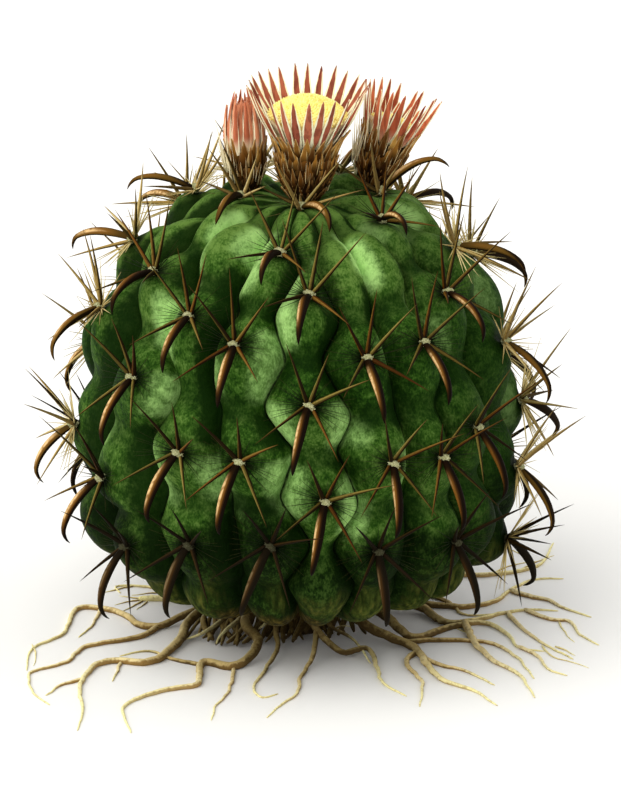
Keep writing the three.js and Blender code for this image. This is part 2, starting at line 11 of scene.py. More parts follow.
import bmesh
import bpy
import numpy as np
from mathutils import Matrix, Vector, noise


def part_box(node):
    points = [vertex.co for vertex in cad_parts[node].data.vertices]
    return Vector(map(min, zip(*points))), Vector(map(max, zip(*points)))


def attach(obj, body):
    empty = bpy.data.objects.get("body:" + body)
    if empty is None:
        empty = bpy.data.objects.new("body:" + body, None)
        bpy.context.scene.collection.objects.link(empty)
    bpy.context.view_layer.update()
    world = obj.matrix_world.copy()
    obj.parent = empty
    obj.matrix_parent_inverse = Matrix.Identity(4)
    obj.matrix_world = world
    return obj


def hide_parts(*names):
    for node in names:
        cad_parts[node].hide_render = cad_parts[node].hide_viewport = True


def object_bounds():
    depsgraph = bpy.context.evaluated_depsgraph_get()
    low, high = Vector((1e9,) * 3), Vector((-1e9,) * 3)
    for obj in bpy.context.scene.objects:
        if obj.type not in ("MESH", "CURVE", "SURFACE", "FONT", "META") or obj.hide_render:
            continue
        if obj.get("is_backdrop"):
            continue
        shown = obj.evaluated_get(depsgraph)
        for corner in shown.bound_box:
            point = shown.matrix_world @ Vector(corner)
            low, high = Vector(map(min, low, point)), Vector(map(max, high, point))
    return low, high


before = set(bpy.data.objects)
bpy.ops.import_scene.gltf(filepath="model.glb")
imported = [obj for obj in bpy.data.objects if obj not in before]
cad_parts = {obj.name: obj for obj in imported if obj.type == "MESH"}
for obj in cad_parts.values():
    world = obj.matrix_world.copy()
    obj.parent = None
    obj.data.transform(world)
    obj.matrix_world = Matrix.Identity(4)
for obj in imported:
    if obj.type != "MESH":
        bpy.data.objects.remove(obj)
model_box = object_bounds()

MM = 0.001
print("solids of the model:", ", ".join(sorted(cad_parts)))

# %% [markdown]
# ## The view
# The plate is drawn almost without perspective, from in front and a little above. A long lens far away
# gives that. Its focal length follows from the height of the picture on the plant: the sensor's long side
# takes it in.

# %% Camera
VIEW = {"aim": (5.7, 0, 108.8), "elevation": 20, "distance": 8000, "height": 363.6, "sensor": 36}


def place_camera():
    rise = math.radians(VIEW["elevation"])
    away = Vector((0, -math.cos(rise), math.sin(rise))) * VIEW["distance"]
    place = (Vector(VIEW["aim"]) + away) * MM
    bpy.ops.object.camera_add(location=place, rotation=(math.pi / 2 - rise, 0, 0))
    camera = bpy.context.object
    camera.name = "plate_camera"
    camera.data.sensor_width = VIEW["sensor"]
    camera.data.lens = VIEW["sensor"] * VIEW["distance"] / VIEW["height"]
    bpy.context.scene.camera = camera
    return camera


plate_camera = place_camera()
print("lens", round(plate_camera.data.lens), "mm")

# %% [markdown]
# ## Floor and light
# A plate has a white ground, so the floor is a wide pale sheet under an even white sky. A lamp hung close
# by would light the sheet unevenly, so the main light is a sun, made as soft as a large window by its wide
# angle. It comes from the upper left, and a weak one from the right keeps that side from going black. The
# standard view transform keeps the paint colours as they are mixed.

# %% Floor, sky and suns
FLOOR = {"size": 12, "color": (0.95, 0.945, 0.93, 1), "roughness": 0.95}
SKY = {"color": (1, 0.995, 0.98, 1), "strength": 0.86}
SUNS = {
    "key_sun": {"side": -46, "rise": 50, "width": 60, "strength": 1.75, "color": (1, 0.98, 0.93)},
    "fill_sun": {"side": 70, "rise": 30, "width": 90, "strength": 0.15, "color": (1, 0.99, 0.97)},
}


def deselect():
    bpy.ops.object.select_all(action="DESELECT")


def plain_material(name, color, roughness):
    material = bpy.data.materials.new(name)
    material.use_nodes = True
    shader = material.node_tree.nodes["Principled BSDF"]
    shader.inputs["Base Color"].default_value = color
    shader.inputs["Roughness"].default_value = roughness
    return material


def lay_floor():
    deselect()
    bpy.ops.mesh.primitive_plane_add(size=FLOOR["size"], location=(0, 0, 0))
    floor = bpy.context.object
    floor.name = "floor"
    floor.data.materials.append(plain_material("floor_paper", FLOOR["color"], FLOOR["roughness"]))
    floor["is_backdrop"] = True


def hang_sun(name, side, rise, width, strength, color):
    """side is degrees to the right of the front, rise is degrees above the floor."""
    side, rise = math.radians(side), math.radians(rise)
    place = Vector((math.cos(rise) * math.sin(side), -math.cos(rise) * math.cos(side), math.sin(rise)))
    bpy.ops.object.light_add(type="SUN", location=place, rotation=place.to_track_quat("Z", "Y").to_euler())
    sun = bpy.context.object
    sun.name = name
    sun.data.angle = math.radians(width)
    sun.data.energy = strength
    sun.data.color = color


def light_sky():
    world = bpy.data.worlds.new("white_sky")
    world.use_nodes = True
    sky = world.node_tree.nodes["Background"]
    sky.inputs["Color"].default_value = SKY["color"]
    sky.inputs["Strength"].default_value = SKY["strength"]
    bpy.context.scene.world = world


lay_floor()
light_sky()
for sun_name, sun in SUNS.items():
    hang_sun(sun_name, **sun)
bpy.context.scene.view_settings.view_transform = "Standard"
print("lights:", ", ".join(SUNS))

# %% [markdown]
# ## The barrel's outline
# The stem is turned from one outline, a rounded square that is fuller below than above, with a dip at the
# apex. A place on it is given by its arc length from the apex and its degrees round the stem from the
# front, as a gardener would count along a rib. The table below holds the outline's radius, height and
# normal by arc length.

# %% The outline by arc length
STEM = {"radius": 98, "middle": 106, "up": 105, "down": 82, "up_roundness": 2.2, "down_roundness": 4.6}
APEX_DIP = {"depth": 7, "reach": 24}
SEAT = {"radius": 40, "height": 24}
OUTLINE_STEPS = 1800
NORMAL_SPAN = 20


def barrel_outline():
    angle = np.linspace(0, math.pi, OUTLINE_STEPS + 1)
    upper = angle < math.pi / 2
    power = 2 / np.where(upper, STEM["up_roundness"], STEM["down_roundness"])
    radius = STEM["radius"] * np.abs(np.sin(angle)) ** power
    dip = np.where(upper, APEX_DIP["depth"] * np.exp(-((radius / APEX_DIP["reach"]) ** 2)), 0)
    reach = np.where(upper, STEM["up"], -STEM["down"])
    height = STEM["middle"] + reach * np.abs(np.cos(angle)) ** power - dip
    arc = np.concatenate([[0], np.cumsum(np.hypot(np.diff(radius), np.diff(height)))])
    index = np.arange(OUTLINE_STEPS + 1)
    before = np.maximum(index - NORMAL_SPAN, 0)
    after = np.minimum(index + NORMAL_SPAN, OUTLINE_STEPS)
    fall, spread = height[before] - height[after], radius[after] - radius[before]
    length = np.hypot(fall, spread)
    return {"arc": arc, "radius": radius, "height": height, "aside": fall / length, "up": spread / length}


OUTLINE = barrel_outline()
SEAT_ARC = OUTLINE["arc"][np.nonzero(OUTLINE["radius"] > SEAT["radius"])[0][-1]]


def outline_at(arc, what):
    return np.interp(arc, OUTLINE["arc"], OUTLINE[what])


def crown_height(x, y):
    upper = slice(OUTLINE_STEPS // 2)
    return float(np.interp(math.hypot(x, y), OUTLINE["radius"][upper], OUTLINE["height"][upper]))


print("arc length from apex to seat:", round(float(SEAT_ARC)), "mm")

# %% [markdown]
# ## Where the ribs run
# Every rib is a row of swellings, and nearly every swelling bears an areole, the woolly cushion that
# carries the spines. The front ribs weave a little, as the plate shows, so they are given swelling by
# swelling: arc length, degrees round the stem and, where an areole grows, the twist by which its hook leans
# right. The ribs behind are even. Crest, swellings and furrows all follow from these rows, and so do the
# spines later.

# %% Ribs and their swellings
FRONT_RIBS = [
    [(50, -113, 20), (98, -116), (146, -118, 0), (194, -118, 0)],
    [(80, -95, -28), (128, -98), (177, -99)],
    [(61, -76), (108, -79, 30), (168, -86, -12), (208, -82)],
    [(36, -62), (80, -60, 26), (126, -50, 11), (178, -61, -8), (206, -51, 0)],
    [(50, -41), (93, -36, 12), (153, -32, -10), (196, -29, -5)],
    [(57, -8, -8), (102, -19, 3), (153, -15, -9), (192, -7, -22)],
    [(78, 4, -13), (127, 3, -16), (171, 7, -15)],
    [(108, 20, -2), (156, 25, -11), (197, 21, -2)],
    [(106, 39, -13), (158, 40, -3), (201, 45, 0)],
    [(46, 55, -38), (89, 56, -25), (150, 53, -6), (199, 60)],
    [(76, 81, 0), (123, 76, -20), (184, 79, -9), (219, 80, 34)],
    [(50, 98), (105, 97), (160, 92, 36), (204, 96)],
]
BACK_RIBS = {"count": 6, "from": 95, "to": 246, "spacing": 48, "first": [54, 78], "last": 215}
BEYOND_THE_SEAT = 999
RIB = {"depth": 16, "full": 28, "fullness": 0.985, "sway": 4.5, "apex_fade": (5, 36), "base_fade": 52}
SWELLING = {"height": 9, "level": 0.62, "drop": 3, "round": 0.4}


def back_rib(index):
    between_ends = BACK_RIBS["to"] - BACK_RIBS["from"]
    turn = BACK_RIBS["from"] + (index + 1) * between_ends / (BACK_RIBS["count"] + 1)
    arcs = range(BACK_RIBS["first"][index % 2], BACK_RIBS["last"], BACK_RIBS["spacing"])
    return [(arc, turn, 0) for arc in arcs]


RIBS = FRONT_RIBS + [back_rib(index) for index in range(BACK_RIBS["count"])]


def smooth(value, low, high):
    share = np.clip((value - low) / (high - low), 0, 1)
    return share * share * (3 - 2 * share)


def crest_turn(rib, arc):
    turn = np.full_like(arc, rib[0][1], dtype=float)
    for above, below in zip(rib, rib[1:]):
        turn += (below[1] - above[1]) * smooth(arc, above[0], below[0])
    return turn


def swelling_at(rib, arc):
    """1 on a swelling, falling as a parabola and rounded off in the notch between two."""
    spots = [spot[0] + SWELLING["drop"] for spot in rib]
    spacing = BACK_RIBS["spacing"]
    above, below = [spots[0] - 2 * spacing, spots[0] - spacing], [spots[-1] + spacing, BEYOND_THE_SEAT]
    spots = np.array(above + spots + below)
    after = np.clip(np.searchsorted(spots, arc, side="right"), 1, len(spots) - 1)
    share = np.clip((arc - spots[after - 1]) / (spots[after] - spots[after - 1]), 0, 1)
    away = np.minimum(share, 1 - share)
    slope = 8 * SWELLING["round"]
    bottom = 1 - 4 * SWELLING["round"] ** 2 - slope * (0.5 - SWELLING["round"]) / 2
    notch = bottom + slope / (1 - 2 * SWELLING["round"]) * (0.5 - away) ** 2
    return np.where(away < SWELLING["round"], 1 - (2 * away) ** 2, notch)


print(len(RIBS), "ribs,", sum(len(rib) for rib in RIBS), "swellings on them")

# %% [markdown]
# ## The stem's surface
# Across a rib the section is an arc of an ellipse between two furrows, and along it the rib swells at each
# areole. A furrow beside a narrow rib is shallow, so the ribs melt together towards the crown.

# %% A point of the skin
def skin_points(rib_index, across, arc):
    rib = RIBS[rib_index]
    side = np.where(across < 0, -1, 1)
    here, own_swell = crest_turn(rib, arc), swelling_at(rib, arc)
    there, other_swell = here.copy(), own_swell.copy()
    for step in (-1, 1):
        neighbour = RIBS[(rib_index + step) % len(RIBS)]
        turn = crest_turn(neighbour, arc)
        turn += 360 * step * (step * (turn - here) < 0)
        there = np.where(side == step, turn, there)
        other_swell = np.where(side == step, swelling_at(neighbour, arc), other_swell)
    furrow = (here + there) / 2 + side * RIB["sway"] * (own_swell - other_swell)
    turn = np.radians(here + np.abs(across) * (furrow - here))
    shared = 0.5 * np.abs(across) ** 4
    swell = own_swell * (1 - shared) + other_swell * shared
    radius, height = outline_at(arc, "radius"), outline_at(arc, "height")
    depth = RIB["depth"] * np.minimum(1, np.radians(np.abs(there - here)) * radius / RIB["full"])
    fade = smooth(arc, *RIB["apex_fade"]) * (1 - smooth(arc, SEAT_ARC - RIB["base_fade"], SEAT_ARC))
    hollow = 1 - np.sqrt(1 - (RIB["fullness"] * across) ** 2)
    lift = fade * (SWELLING["height"] * (swell - SWELLING["level"]) * (1 - hollow) - depth * hollow)
    radius = radius + lift * outline_at(arc, "aside")
    height = height + lift * outline_at(arc, "up")
    return np.stack([radius * np.sin(turn), -radius * np.cos(turn), height], axis=-1), swell


probe, _ = skin_points(6, np.array([0.0]), np.array([127.0]))
print("crest at the middle of the front:", np.round(probe[0], 1))

# %% [markdown]
# ## Areoles and what keeps clear of the flowers
# An areole has its own axes: out of the skin, up the rib and to the right, twisted about the first so that
# its hook leans as it does on the plate. Three more areoles stand at the feet of the flowers, nod away from
# them and have spines of their own. A spine that would run into a flower stays short.

# %% The flowers' frames
FLOWERS = {
    "flower_centre": {
        "foot": (3, 4), "lean": (2, 80),
        "tube": [(6, 0), (11.5, 8), (14, 18), (13, 29)], "reach": [(20, 39), (28, 54)],
        "scales": {"rows": 9, "around": 22, "length": 12, "last": 24.5, "seed": 11},
    },
    "flower_right": {
        "foot": (33, 31), "lean": (21, 115),
        "tube": [(6, 0), (10, 6), (11.5, 14), (10, 23)], "reach": [(12.5, 30), (16.5, 45)],
        "scales": {"rows": 8, "around": 17, "length": 11.5, "last": 18, "seed": 12},
    },
    "flower_left": {
        "foot": (-23, 14), "lean": (2, -80),
        "tube": [(5, 0), (8, 6), (8.8, 12), (8, 18)], "reach": [(8.6, 29), (5.5, 42)],
        "scales": {"rows": 7, "around": 15, "length": 11, "last": 15, "seed": 13},
    },
}
SCALE_ROOM = 2.4
SPINE_ROOM = {"margin": 2.2, "step": 1.5, "least": 5}
FLOWER_GROUND = 20


def flower_frame(foot, lean):
    tilt, turn = (math.radians(degrees) for degrees in lean)
    leant = Matrix.Rotation(tilt, 4, Vector((math.cos(turn), math.sin(turn), 0)))
    return Matrix.Translation((*foot, crown_height(*foot))) @ leant


for flower in FLOWERS.values():
    flower["frame"] = flower_frame(flower["foot"], flower["lean"])
    flower["room"] = [(radius + SCALE_ROOM, height) for radius, height in flower["tube"]] + flower["reach"]


def radius_at(outline, height):
    return float(np.interp(height, [h for _, h in outline], [r for r, _ in outline]))


def clear_length(start, direction, length):
    """How long a spine can be before it runs into a flower."""
    for flower in FLOWERS.values():
        inward = flower["frame"].inverted()
        reach = 0.0
        while reach < length:
            point = inward @ (start + direction * reach)
            room = radius_at(flower["room"], point.z) + SPINE_ROOM["margin"]
            if 0 <= point.z <= flower["room"][-1][1] and math.hypot(point.x, point.y) < room:
                length = max(reach, SPINE_ROOM["least"])
            reach += SPINE_ROOM["step"]
    return length


feet = [flower["frame"].translation for flower in FLOWERS.values()]
print("flower feet at", [tuple(round(length) for length in foot) for foot in feet])

# %% Areoles with their axes
# A straight spine is its turn clockwise from the apex side, its tilt away from the skin's normal and its
# length. None stands for the hooked one.
GROWN_SPINES = [(2, 55, 33), (42, 52, 36), (136, 58, 31), None, (226, 60, 31), (322, 54, 35)]
CROWN_AREOLES = [
    {"at": (2, -11), "turn": 21, "nod": 25,
     "spines": [(304, 17, 35), (99, 22, 33), (105, 55, 28), None, (296, 34, 31), (302, 70, 20)]},
    {"at": (-26, 1), "turn": -19, "nod": 28,
     "spines": [(305, 12, 29), (48, 24, 24), (90, 47, 17), None, (262, 61, 20), (285, 31, 29)]},
    {"at": (38, 14), "turn": 80, "nod": 0,
     "spines": [(348, 50, 22), (75, 50, 14), (130, 50, 15), None, (205, 30, 19), (302, 15, 29)]},
]
YOUNG = {"size": 0.72, "until": 80}
SEEDS = {"rib": 10, "crown": 500}
# Between these degrees round the stem spines come to stand against the sky, and between these heights in
# millimetres the earth's painted shade stops darkening them.
SILHOUETTE = (58, 84)
EARTH_SHADE_HEIGHTS = (74, 84)


def areole_axes(at, aside, up, turn, twist):
    turn, twist = math.radians(turn), math.radians(twist)
    out = Vector((aside * math.sin(turn), -aside * math.cos(turn), up)).normalized()
    right = Matrix.Rotation(twist, 3, out) @ Vector((math.cos(turn), math.sin(turn), 0))
    return {"at": at, "out": out, "right": right, "up": out.cross(right)}


def rib_areole(rib_index, place, arc, turn, twist):
    point, _ = skin_points(rib_index, np.array([0.0]), np.array([float(arc)]))
    at = Vector(point[0])
    if any(math.dist(at.xy, flower["foot"]) < FLOWER_GROUND for flower in FLOWERS.values()):
        return None
    areole = areole_axes(at, float(outline_at(arc, "aside")), float(outline_at(arc, "up")), turn, twist)
    return areole | {
        "size": YOUNG["size"] + (1 - YOUNG["size"]) * float(smooth(arc, 0, YOUNG["until"])),
        "spines": GROWN_SPINES, "seed": rib_index * SEEDS["rib"] + place, "lean": 1 if twist > 0 else -1,
        "crown": False, "straw": float(smooth(abs(turn), *SILHOUETTE)),
        # soil is the share of the earth's painted shade at the areole's height
        "soil": 1 - float(smooth(at.z, *EARTH_SHADE_HEIGHTS)),
    }


def crown_areole(index, at, turn, nod, spines):
    nod = math.radians(nod)
    areole = areole_axes(Vector((*at, crown_height(*at))), math.sin(nod), math.cos(nod), turn, 0)
    return areole | {
        "size": 1.0, "spines": spines, "seed": SEEDS["crown"] + index, "lean": 1,
        "crown": True, "straw": 1.0, "soil": 0.0,
    }


rib_spots = [(i, k, *spot) for i, rib in enumerate(RIBS) for k, spot in enumerate(rib) if len(spot) == 3]
AREOLES = [areole for areole in (rib_areole(*spot) for spot in rib_spots) if areole]
AREOLES += [crown_areole(index, **areole) for index, areole in enumerate(CROWN_AREOLES)]
print(len(AREOLES), "areoles carry spines")

# %% [markdown]
# ## Finishes
# Everything on a plant is patterned, so each material is a small tree of nodes. This helper adds and links
# them a line at a time. Patterns read the object's own coordinates in metres, or numbers stored on the mesh
# where they must follow the form: how far along a spine, how far across a rib.

# %% A helper for node trees
class Finish:
    """A material, with short ways to add nodes and link them."""

    def __init__(self, name, roughness, gloss):
        self.material = bpy.data.materials.new(name)
        self.material.use_nodes = True
        self.tree = self.material.node_tree
        self.shader = self.tree.nodes["Principled BSDF"]
        self.shader.inputs["Roughness"].default_value = roughness
        self.shader.inputs["Specular IOR Level"].default_value = gloss
        self.place = self.tree.nodes.new("ShaderNodeTexCoord").outputs["Object"]

    def add(self, kind, values, output=0, **settings):
        node = self.tree.nodes.new(kind)
        for name, value in settings.items():
            setattr(node, name, value)
        for socket, value in values.items():
            self.put(node.inputs[socket], value)
        return node.outputs[output]

    def put(self, socket, value):
        if isinstance(value, bpy.types.NodeSocket):
            self.tree.links.new(value, socket)
        elif socket.type == "RGBA":
            socket.default_value = (*value, 1)
        else:
            socket.default_value = value

    def stored(self, name):
        return self.add("ShaderNodeAttribute", {}, output="Fac", attribute_name=name)

    def noise(self, scale, detail=3, stretch=(1, 1, 1), roughness=0.5):
        place = self.add("ShaderNodeMapping", {"Vector": self.place, "Scale": stretch})
        values = {"Vector": place, "Scale": scale, "Detail": detail, "Roughness": roughness}
        return self.add("ShaderNodeTexNoise", values)

    def math(self, operation, a, b=0.0):
        return self.add("ShaderNodeMath", {0: a, 1: b}, operation=operation)

    def plus(self, a, b):
        return self.math("ADD", a, b)

    def times(self, a, b):
        return self.math("MULTIPLY", a, b)

    def span(self, value, low, high, to_low=0.0, to_high=1.0):
        """Rises or falls softly from one amount to the other while the value goes from low to high."""
        values = {"Value": value, "From Min": low, "From Max": high, "To Min": to_low, "To Max": to_high}
        return self.add("ShaderNodeMapRange", values, interpolation_type="SMOOTHSTEP")

    def mix(self, share, a, b):
        return self.add("ShaderNodeMix", {0: share, 6: a, 7: b}, output=2, data_type="RGBA")

    def ramp(self, value, stops):
        node = self.tree.nodes.new("ShaderNodeValToRGB")
        self.put(node.inputs[0], value)
        while len(node.color_ramp.elements) < len(stops):
            node.color_ramp.elements.new(0.5)
        for element, (position, color) in zip(node.color_ramp.elements, stops):
            element.position = position
            element.color = (*color, 1)
        return node.outputs[0]

    def color(self, value):
        self.put(self.shader.inputs["Base Color"], value)

    def rough(self, value):
        self.put(self.shader.inputs["Roughness"], value)

    def bump(self, height, depth):
        values = {"Height": height, "Distance": depth * MM, "Strength": 1.0}
        self.put(self.shader.inputs["Normal"], self.add("ShaderNodeBump", values, output="Normal"))


print("helper ready")

# %% [markdown]
# ## Common steps for every piece
# Each piece is finished the same way: its place goes into its mesh, it gets its material and its name, and
# the solids it stands for are hidden. Repeated things are modelled once at the origin. Their copies are
# moved into place and joined to one mesh, each copy with a number of its own, its tone, so that no two are
# coloured alike.

# %% Helpers for pieces
def store(mesh, name, values):
    layer = mesh.attributes.get(name) or mesh.attributes.new(name, "FLOAT", "POINT")
    layer.data.foreach_set("value", np.asarray(values, dtype=np.float32))


def read(mesh, name):
    values = np.empty(len(mesh.vertices), dtype=np.float32)
    mesh.attributes[name].data.foreach_get("value", values)
    return values


def corners_of(mesh):
    flat = np.empty(len(mesh.vertices) * 3, dtype=np.float32)
    mesh.vertices.foreach_get("co", flat)
    return flat.reshape(-1, 3).astype(float)


def set_corners(mesh, points):
    mesh.vertices.foreach_set("co", np.asarray(points, dtype=np.float32).ravel())
    mesh.update()


def finish_piece(piece, name, finish, slot, *nodes):
    piece.name = name
    piece.data.name = name
    piece.data.materials.clear()
    piece.data.materials.append(finish.material)
    piece.data.shade_smooth()
    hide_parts(*nodes)
    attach(piece, "root")
    sides = sum(len(face.vertices) - 2 for face in piece.data.polygons)
    print(name, "has", sides, "triangles")


def store_lit(piece, light):
    """How far each point faces the painter's light, from 1 to -1."""
    normals = np.empty(len(piece.data.vertices) * 3, dtype=np.float32)
    piece.data.vertices.foreach_get("normal", normals)
    store(piece.data, "lit", normals.reshape(-1, 3) @ np.array(Vector(light).normalized()))


def joined(pieces):
    deselect()
    for piece in pieces:
        piece.select_set(True)
    bpy.context.view_layer.objects.active = pieces[0]
    if len(pieces) > 1:
        bpy.ops.object.join()
    return bpy.context.object


def planted(pattern, places):
    """Copies of a pattern in millimetres at each (matrix, tone), joined to one piece in metres."""
    copies = []
    for matrix, tone in places:
        mesh = pattern.data.copy()
        mesh.transform(Matrix.Scale(MM, 4) @ matrix)
        store(mesh, "tone", [tone] * len(mesh.vertices))
        copy = bpy.data.objects.new("copy", mesh)
        bpy.context.collection.objects.link(copy)
        copies.append(copy)
    return joined(copies)


def discard(pattern):
    bpy.data.objects.remove(pattern)


MIXING = {"first": 12.9898, "step": 65.2431, "spread": 43758.5453}


def draw(*numbers):
    """A chance number from -1 to 1 that is always the same for the same numbers."""
    mixed = 0.5 + sum(number * (MIXING["first"] + MIXING["step"] * i) for i, number in enumerate(numbers))
    value = math.sin(mixed) * MIXING["spread"]
    return 2 * (value - math.floor(value)) - 1


def chance(*numbers):
    """A chance number from 0 to 1."""
    return 0.5 + 0.5 * draw(*numbers)


def between(low_high, share):
    return low_high[0] + (low_high[1] - low_high[0]) * share


print("a draw:", round(draw(1, 2, 3), 3))

# %% [markdown]
# ## The skin of the stem
# The skin could be carved from a lump, but its ribs follow rows that are already known, so a sphere with
# enough meridians is the better start: it is closed, and every meridian becomes one line down a rib. Its
# points are moved to the surface above. Around each areole the skin has a small pit above and a chin below,
# which casts the dark notch that the plate draws.

# %% Shape the skin
SKIN = {"per_rib": 22, "rows": 190, "unevenness": 0.7, "patch": 17}
PIT = {"depth": 2.2, "rise": 2.5, "tall": 3.6, "wide": 6.5}
CHIN = {"height": 1.6, "drop": 8.5, "tall": 6, "wide": 8}
# The halo of painted shade round each areole
SHADE_HALO = {"tall": 4.6, "wide": 8.5}
AREOLE_REACH = 30
SEAT_CALM = 12
# Painted highlights on the margins of the ribs in front, by rib: (side, from arc, to arc, how pale)
LIT_MARGINS = {
    3: [(-1, 40, 66, 0.6), (-1, 150, 176, 0.5), (1, 28, 56, 0.6), (1, 84, 112, 0.8), (1, 118, 146, 0.5)],
    4: [(-1, 36, 84, 0.6), (-1, 88, 114, 0.95), (-1, 152, 184, 0.6), (1, 32, 60, 0.7), (1, 152, 180, 0.5)],
    5: [(-1, 34, 76, 1.0), (-1, 104, 130, 0.5), (-1, 158, 186, 0.4), (1, 90, 130, 0.65),
        (1, 152, 182, 0.85)],
    6: [(-1, 62, 102, 1.0), (-1, 126, 148, 0.8), (-1, 156, 182, 0.7), (1, 50, 66, 0.4), (1, 124, 152, 0.6),
        (1, 162, 190, 0.9)],
    7: [(-1, 134, 150, 0.5), (-1, 172, 194, 0.6), (1, 36, 70, 0.8), (1, 96, 114, 0.5), (1, 146, 180, 0.55)],
    8: [(-1, 46, 76, 0.8), (1, 76, 96, 0.35)],
    9: [(-1, 36, 58, 0.4), (-1, 94, 116, 0.5), (1, 94, 114, 0.3)],
    10: [(-1, 34, 62, 0.4), (1, 30, 50, 0.4)],
}
# Elsewhere the margins are painted shade, dim on the left and dimmer on the right, with a painted highlight
# on the left beside each swelling
MARGIN = {"around": (-16, 12), "pale": 0.6, "dim": {-1: -0.35, 1: -0.65}, "fade": 7, "across": (0.12, 0.80)}


def meridian_sphere():
    deselect()
    meridians = len(RIBS) * SKIN["per_rib"]
    bpy.ops.mesh.primitive_uv_sphere_add(segments=meridians, ring_count=SKIN["rows"], radius=1)
    return bpy.context.object


def margin_light(rib_index, across, arc):
    """From 1 on a painted highlight of the rib's margin to -1 on painted shade, and 0 along its crest."""
    before, after = MARGIN["around"]
    usual = [(-1, spot[0] + before, spot[0] + after, MARGIN["pale"]) for spot in RIBS[rib_index]]
    light = np.where(across < 0, MARGIN["dim"][-1], MARGIN["dim"][1])
    for side, start, end, pale in LIT_MARGINS.get(rib_index, usual):
        inside = smooth(arc, start - MARGIN["fade"], start + MARGIN["fade"])
        inside *= (1 - smooth(arc, end - MARGIN["fade"], end + MARGIN["fade"])) * (across * side > 0)
        light = light * (1 - inside) + pale * inside
    return light * smooth(np.abs(across), *MARGIN["across"])


def wrap_on_ribs(sphere):
    ball = corners_of(sphere.data)
    row = np.rint(np.arccos(np.clip(ball[:, 2], -1, 1)) / math.pi * SKIN["rows"]).astype(int)
    share = (np.degrees(np.arctan2(ball[:, 1], ball[:, 0])) % 360) / 360
    column = np.rint(share * len(RIBS) * SKIN["per_rib"]).astype(int) % (len(RIBS) * SKIN["per_rib"])
    shifted = column + SKIN["per_rib"] // 2 - 1
    rib_of = (shifted // SKIN["per_rib"]) % len(RIBS)
    across = (shifted % SKIN["per_rib"] - (SKIN["per_rib"] // 2 - 1)) / (SKIN["per_rib"] / 2)
    arc = np.clip(row / (SKIN["rows"] - 1), 0, 1) * SEAT_ARC
    points, swell, margin = np.empty_like(ball), np.empty(len(ball)), np.empty(len(ball))
    for index in range(len(RIBS)):
        chosen = rib_of == index
        points[chosen], swell[chosen] = skin_points(index, across[chosen], arc[chosen])
        margin[chosen] = margin_light(index, across[chosen], arc[chosen])
    points[row == 0] = (0, 0, OUTLINE["height"][0])
    low = row >= SKIN["rows"] - 1
    points[low, 2] = SEAT["height"]
    points[row == SKIN["rows"]] = (0, 0, SEAT["height"])
    return points, across, arc, swell, margin


def soft_spot(spot, size, up, aside):
    """1 in the middle of an oval spot of the skin, fading to 0 around it."""
    return np.exp(-((up / (spot["tall"] * size)) ** 2) - (aside / (spot["wide"] * size)) ** 2)


def areole_relief(points):
    """How far the pits and chins lift each point, and how near it lies to an areole."""
    lift, near = np.zeros(len(points)), np.zeros(len(points))
    for areole in AREOLES:
        offset, size = points - np.array(areole["at"]), areole["size"]
        up, aside = offset @ np.array(areole["up"]), offset @ np.array(areole["right"])
        reach = np.einsum("ij,ij->i", offset, offset) < AREOLE_REACH ** 2
        pit = soft_spot(PIT, size, up - PIT["rise"], aside)
        chin = soft_spot(CHIN, size, up + CHIN["drop"], aside)
        lift += reach * size * (CHIN["height"] * chin - PIT["depth"] * pit) * (0 if areole["crown"] else 1)
        near = np.maximum(near, reach * soft_spot(SHADE_HALO, size, up, aside))
    return lift, near


def shape_skin():
    skin = meridian_sphere()
    points, across, arc, swell, margin = wrap_on_ribs(skin)
    lift, near = areole_relief(points)
    wave = np.array([noise.noise(Vector(point) / SKIN["patch"]) for point in points])
    calm = 1 - smooth(arc, SEAT_ARC - SEAT_CALM, SEAT_ARC)
    lift = (lift + SKIN["unevenness"] * wave) * calm
    turn = np.arctan2(points[:, 0], -points[:, 1])
    points[:, 0] += lift * outline_at(arc, "aside") * np.sin(turn)
    points[:, 1] -= lift * outline_at(arc, "aside") * np.cos(turn)
    points[:, 2] += lift * outline_at(arc, "up")
    set_corners(skin.data, points * MM)
    store(skin.data, "furrow", np.abs(across))
    # The painted highlights and shade of the rib margins
    store(skin.data, "margin", margin)
    store(skin.data, "swell", swell)
    # How near each point lies to an areole, for its halo of painted shade
    store(skin.data, "areole", near)
    store(skin.data, "turned", np.sin(turn))
    return skin


skin = shape_skin()
print("skin:", len(skin.data.vertices), "points")

# %% [markdown]
# ## The green of the skin
# On the plate each swelling is a mottled leaf green, paler on the shoulders and darkest round the middle.
# Parts of its margins carry painted highlights, pale yellow-green rims that stop sharply at the furrow, and
# the rest sinks into painted black-green shade, as does the right of the stem. The plate doesn't light every
# rib alike, so the rims in front are given one by one, and noise breaks them up so that none is a clean
# line.
# The furrows, the notches between swellings and a halo round each areole are painted shade. The lowest third
# is in the earth's painted shade, with olive patches, and its underside is brown with cork. Each layer is
# laid over the ones before it.

# %% Greens and where they lie
LEAF_GREENS = [
    (0.28, (0.006, 0.025, 0.002)), (0.44, (0.019, 0.060, 0.005)), (0.58, (0.043, 0.106, 0.013)),
    (0.78, (0.105, 0.195, 0.036)),
]
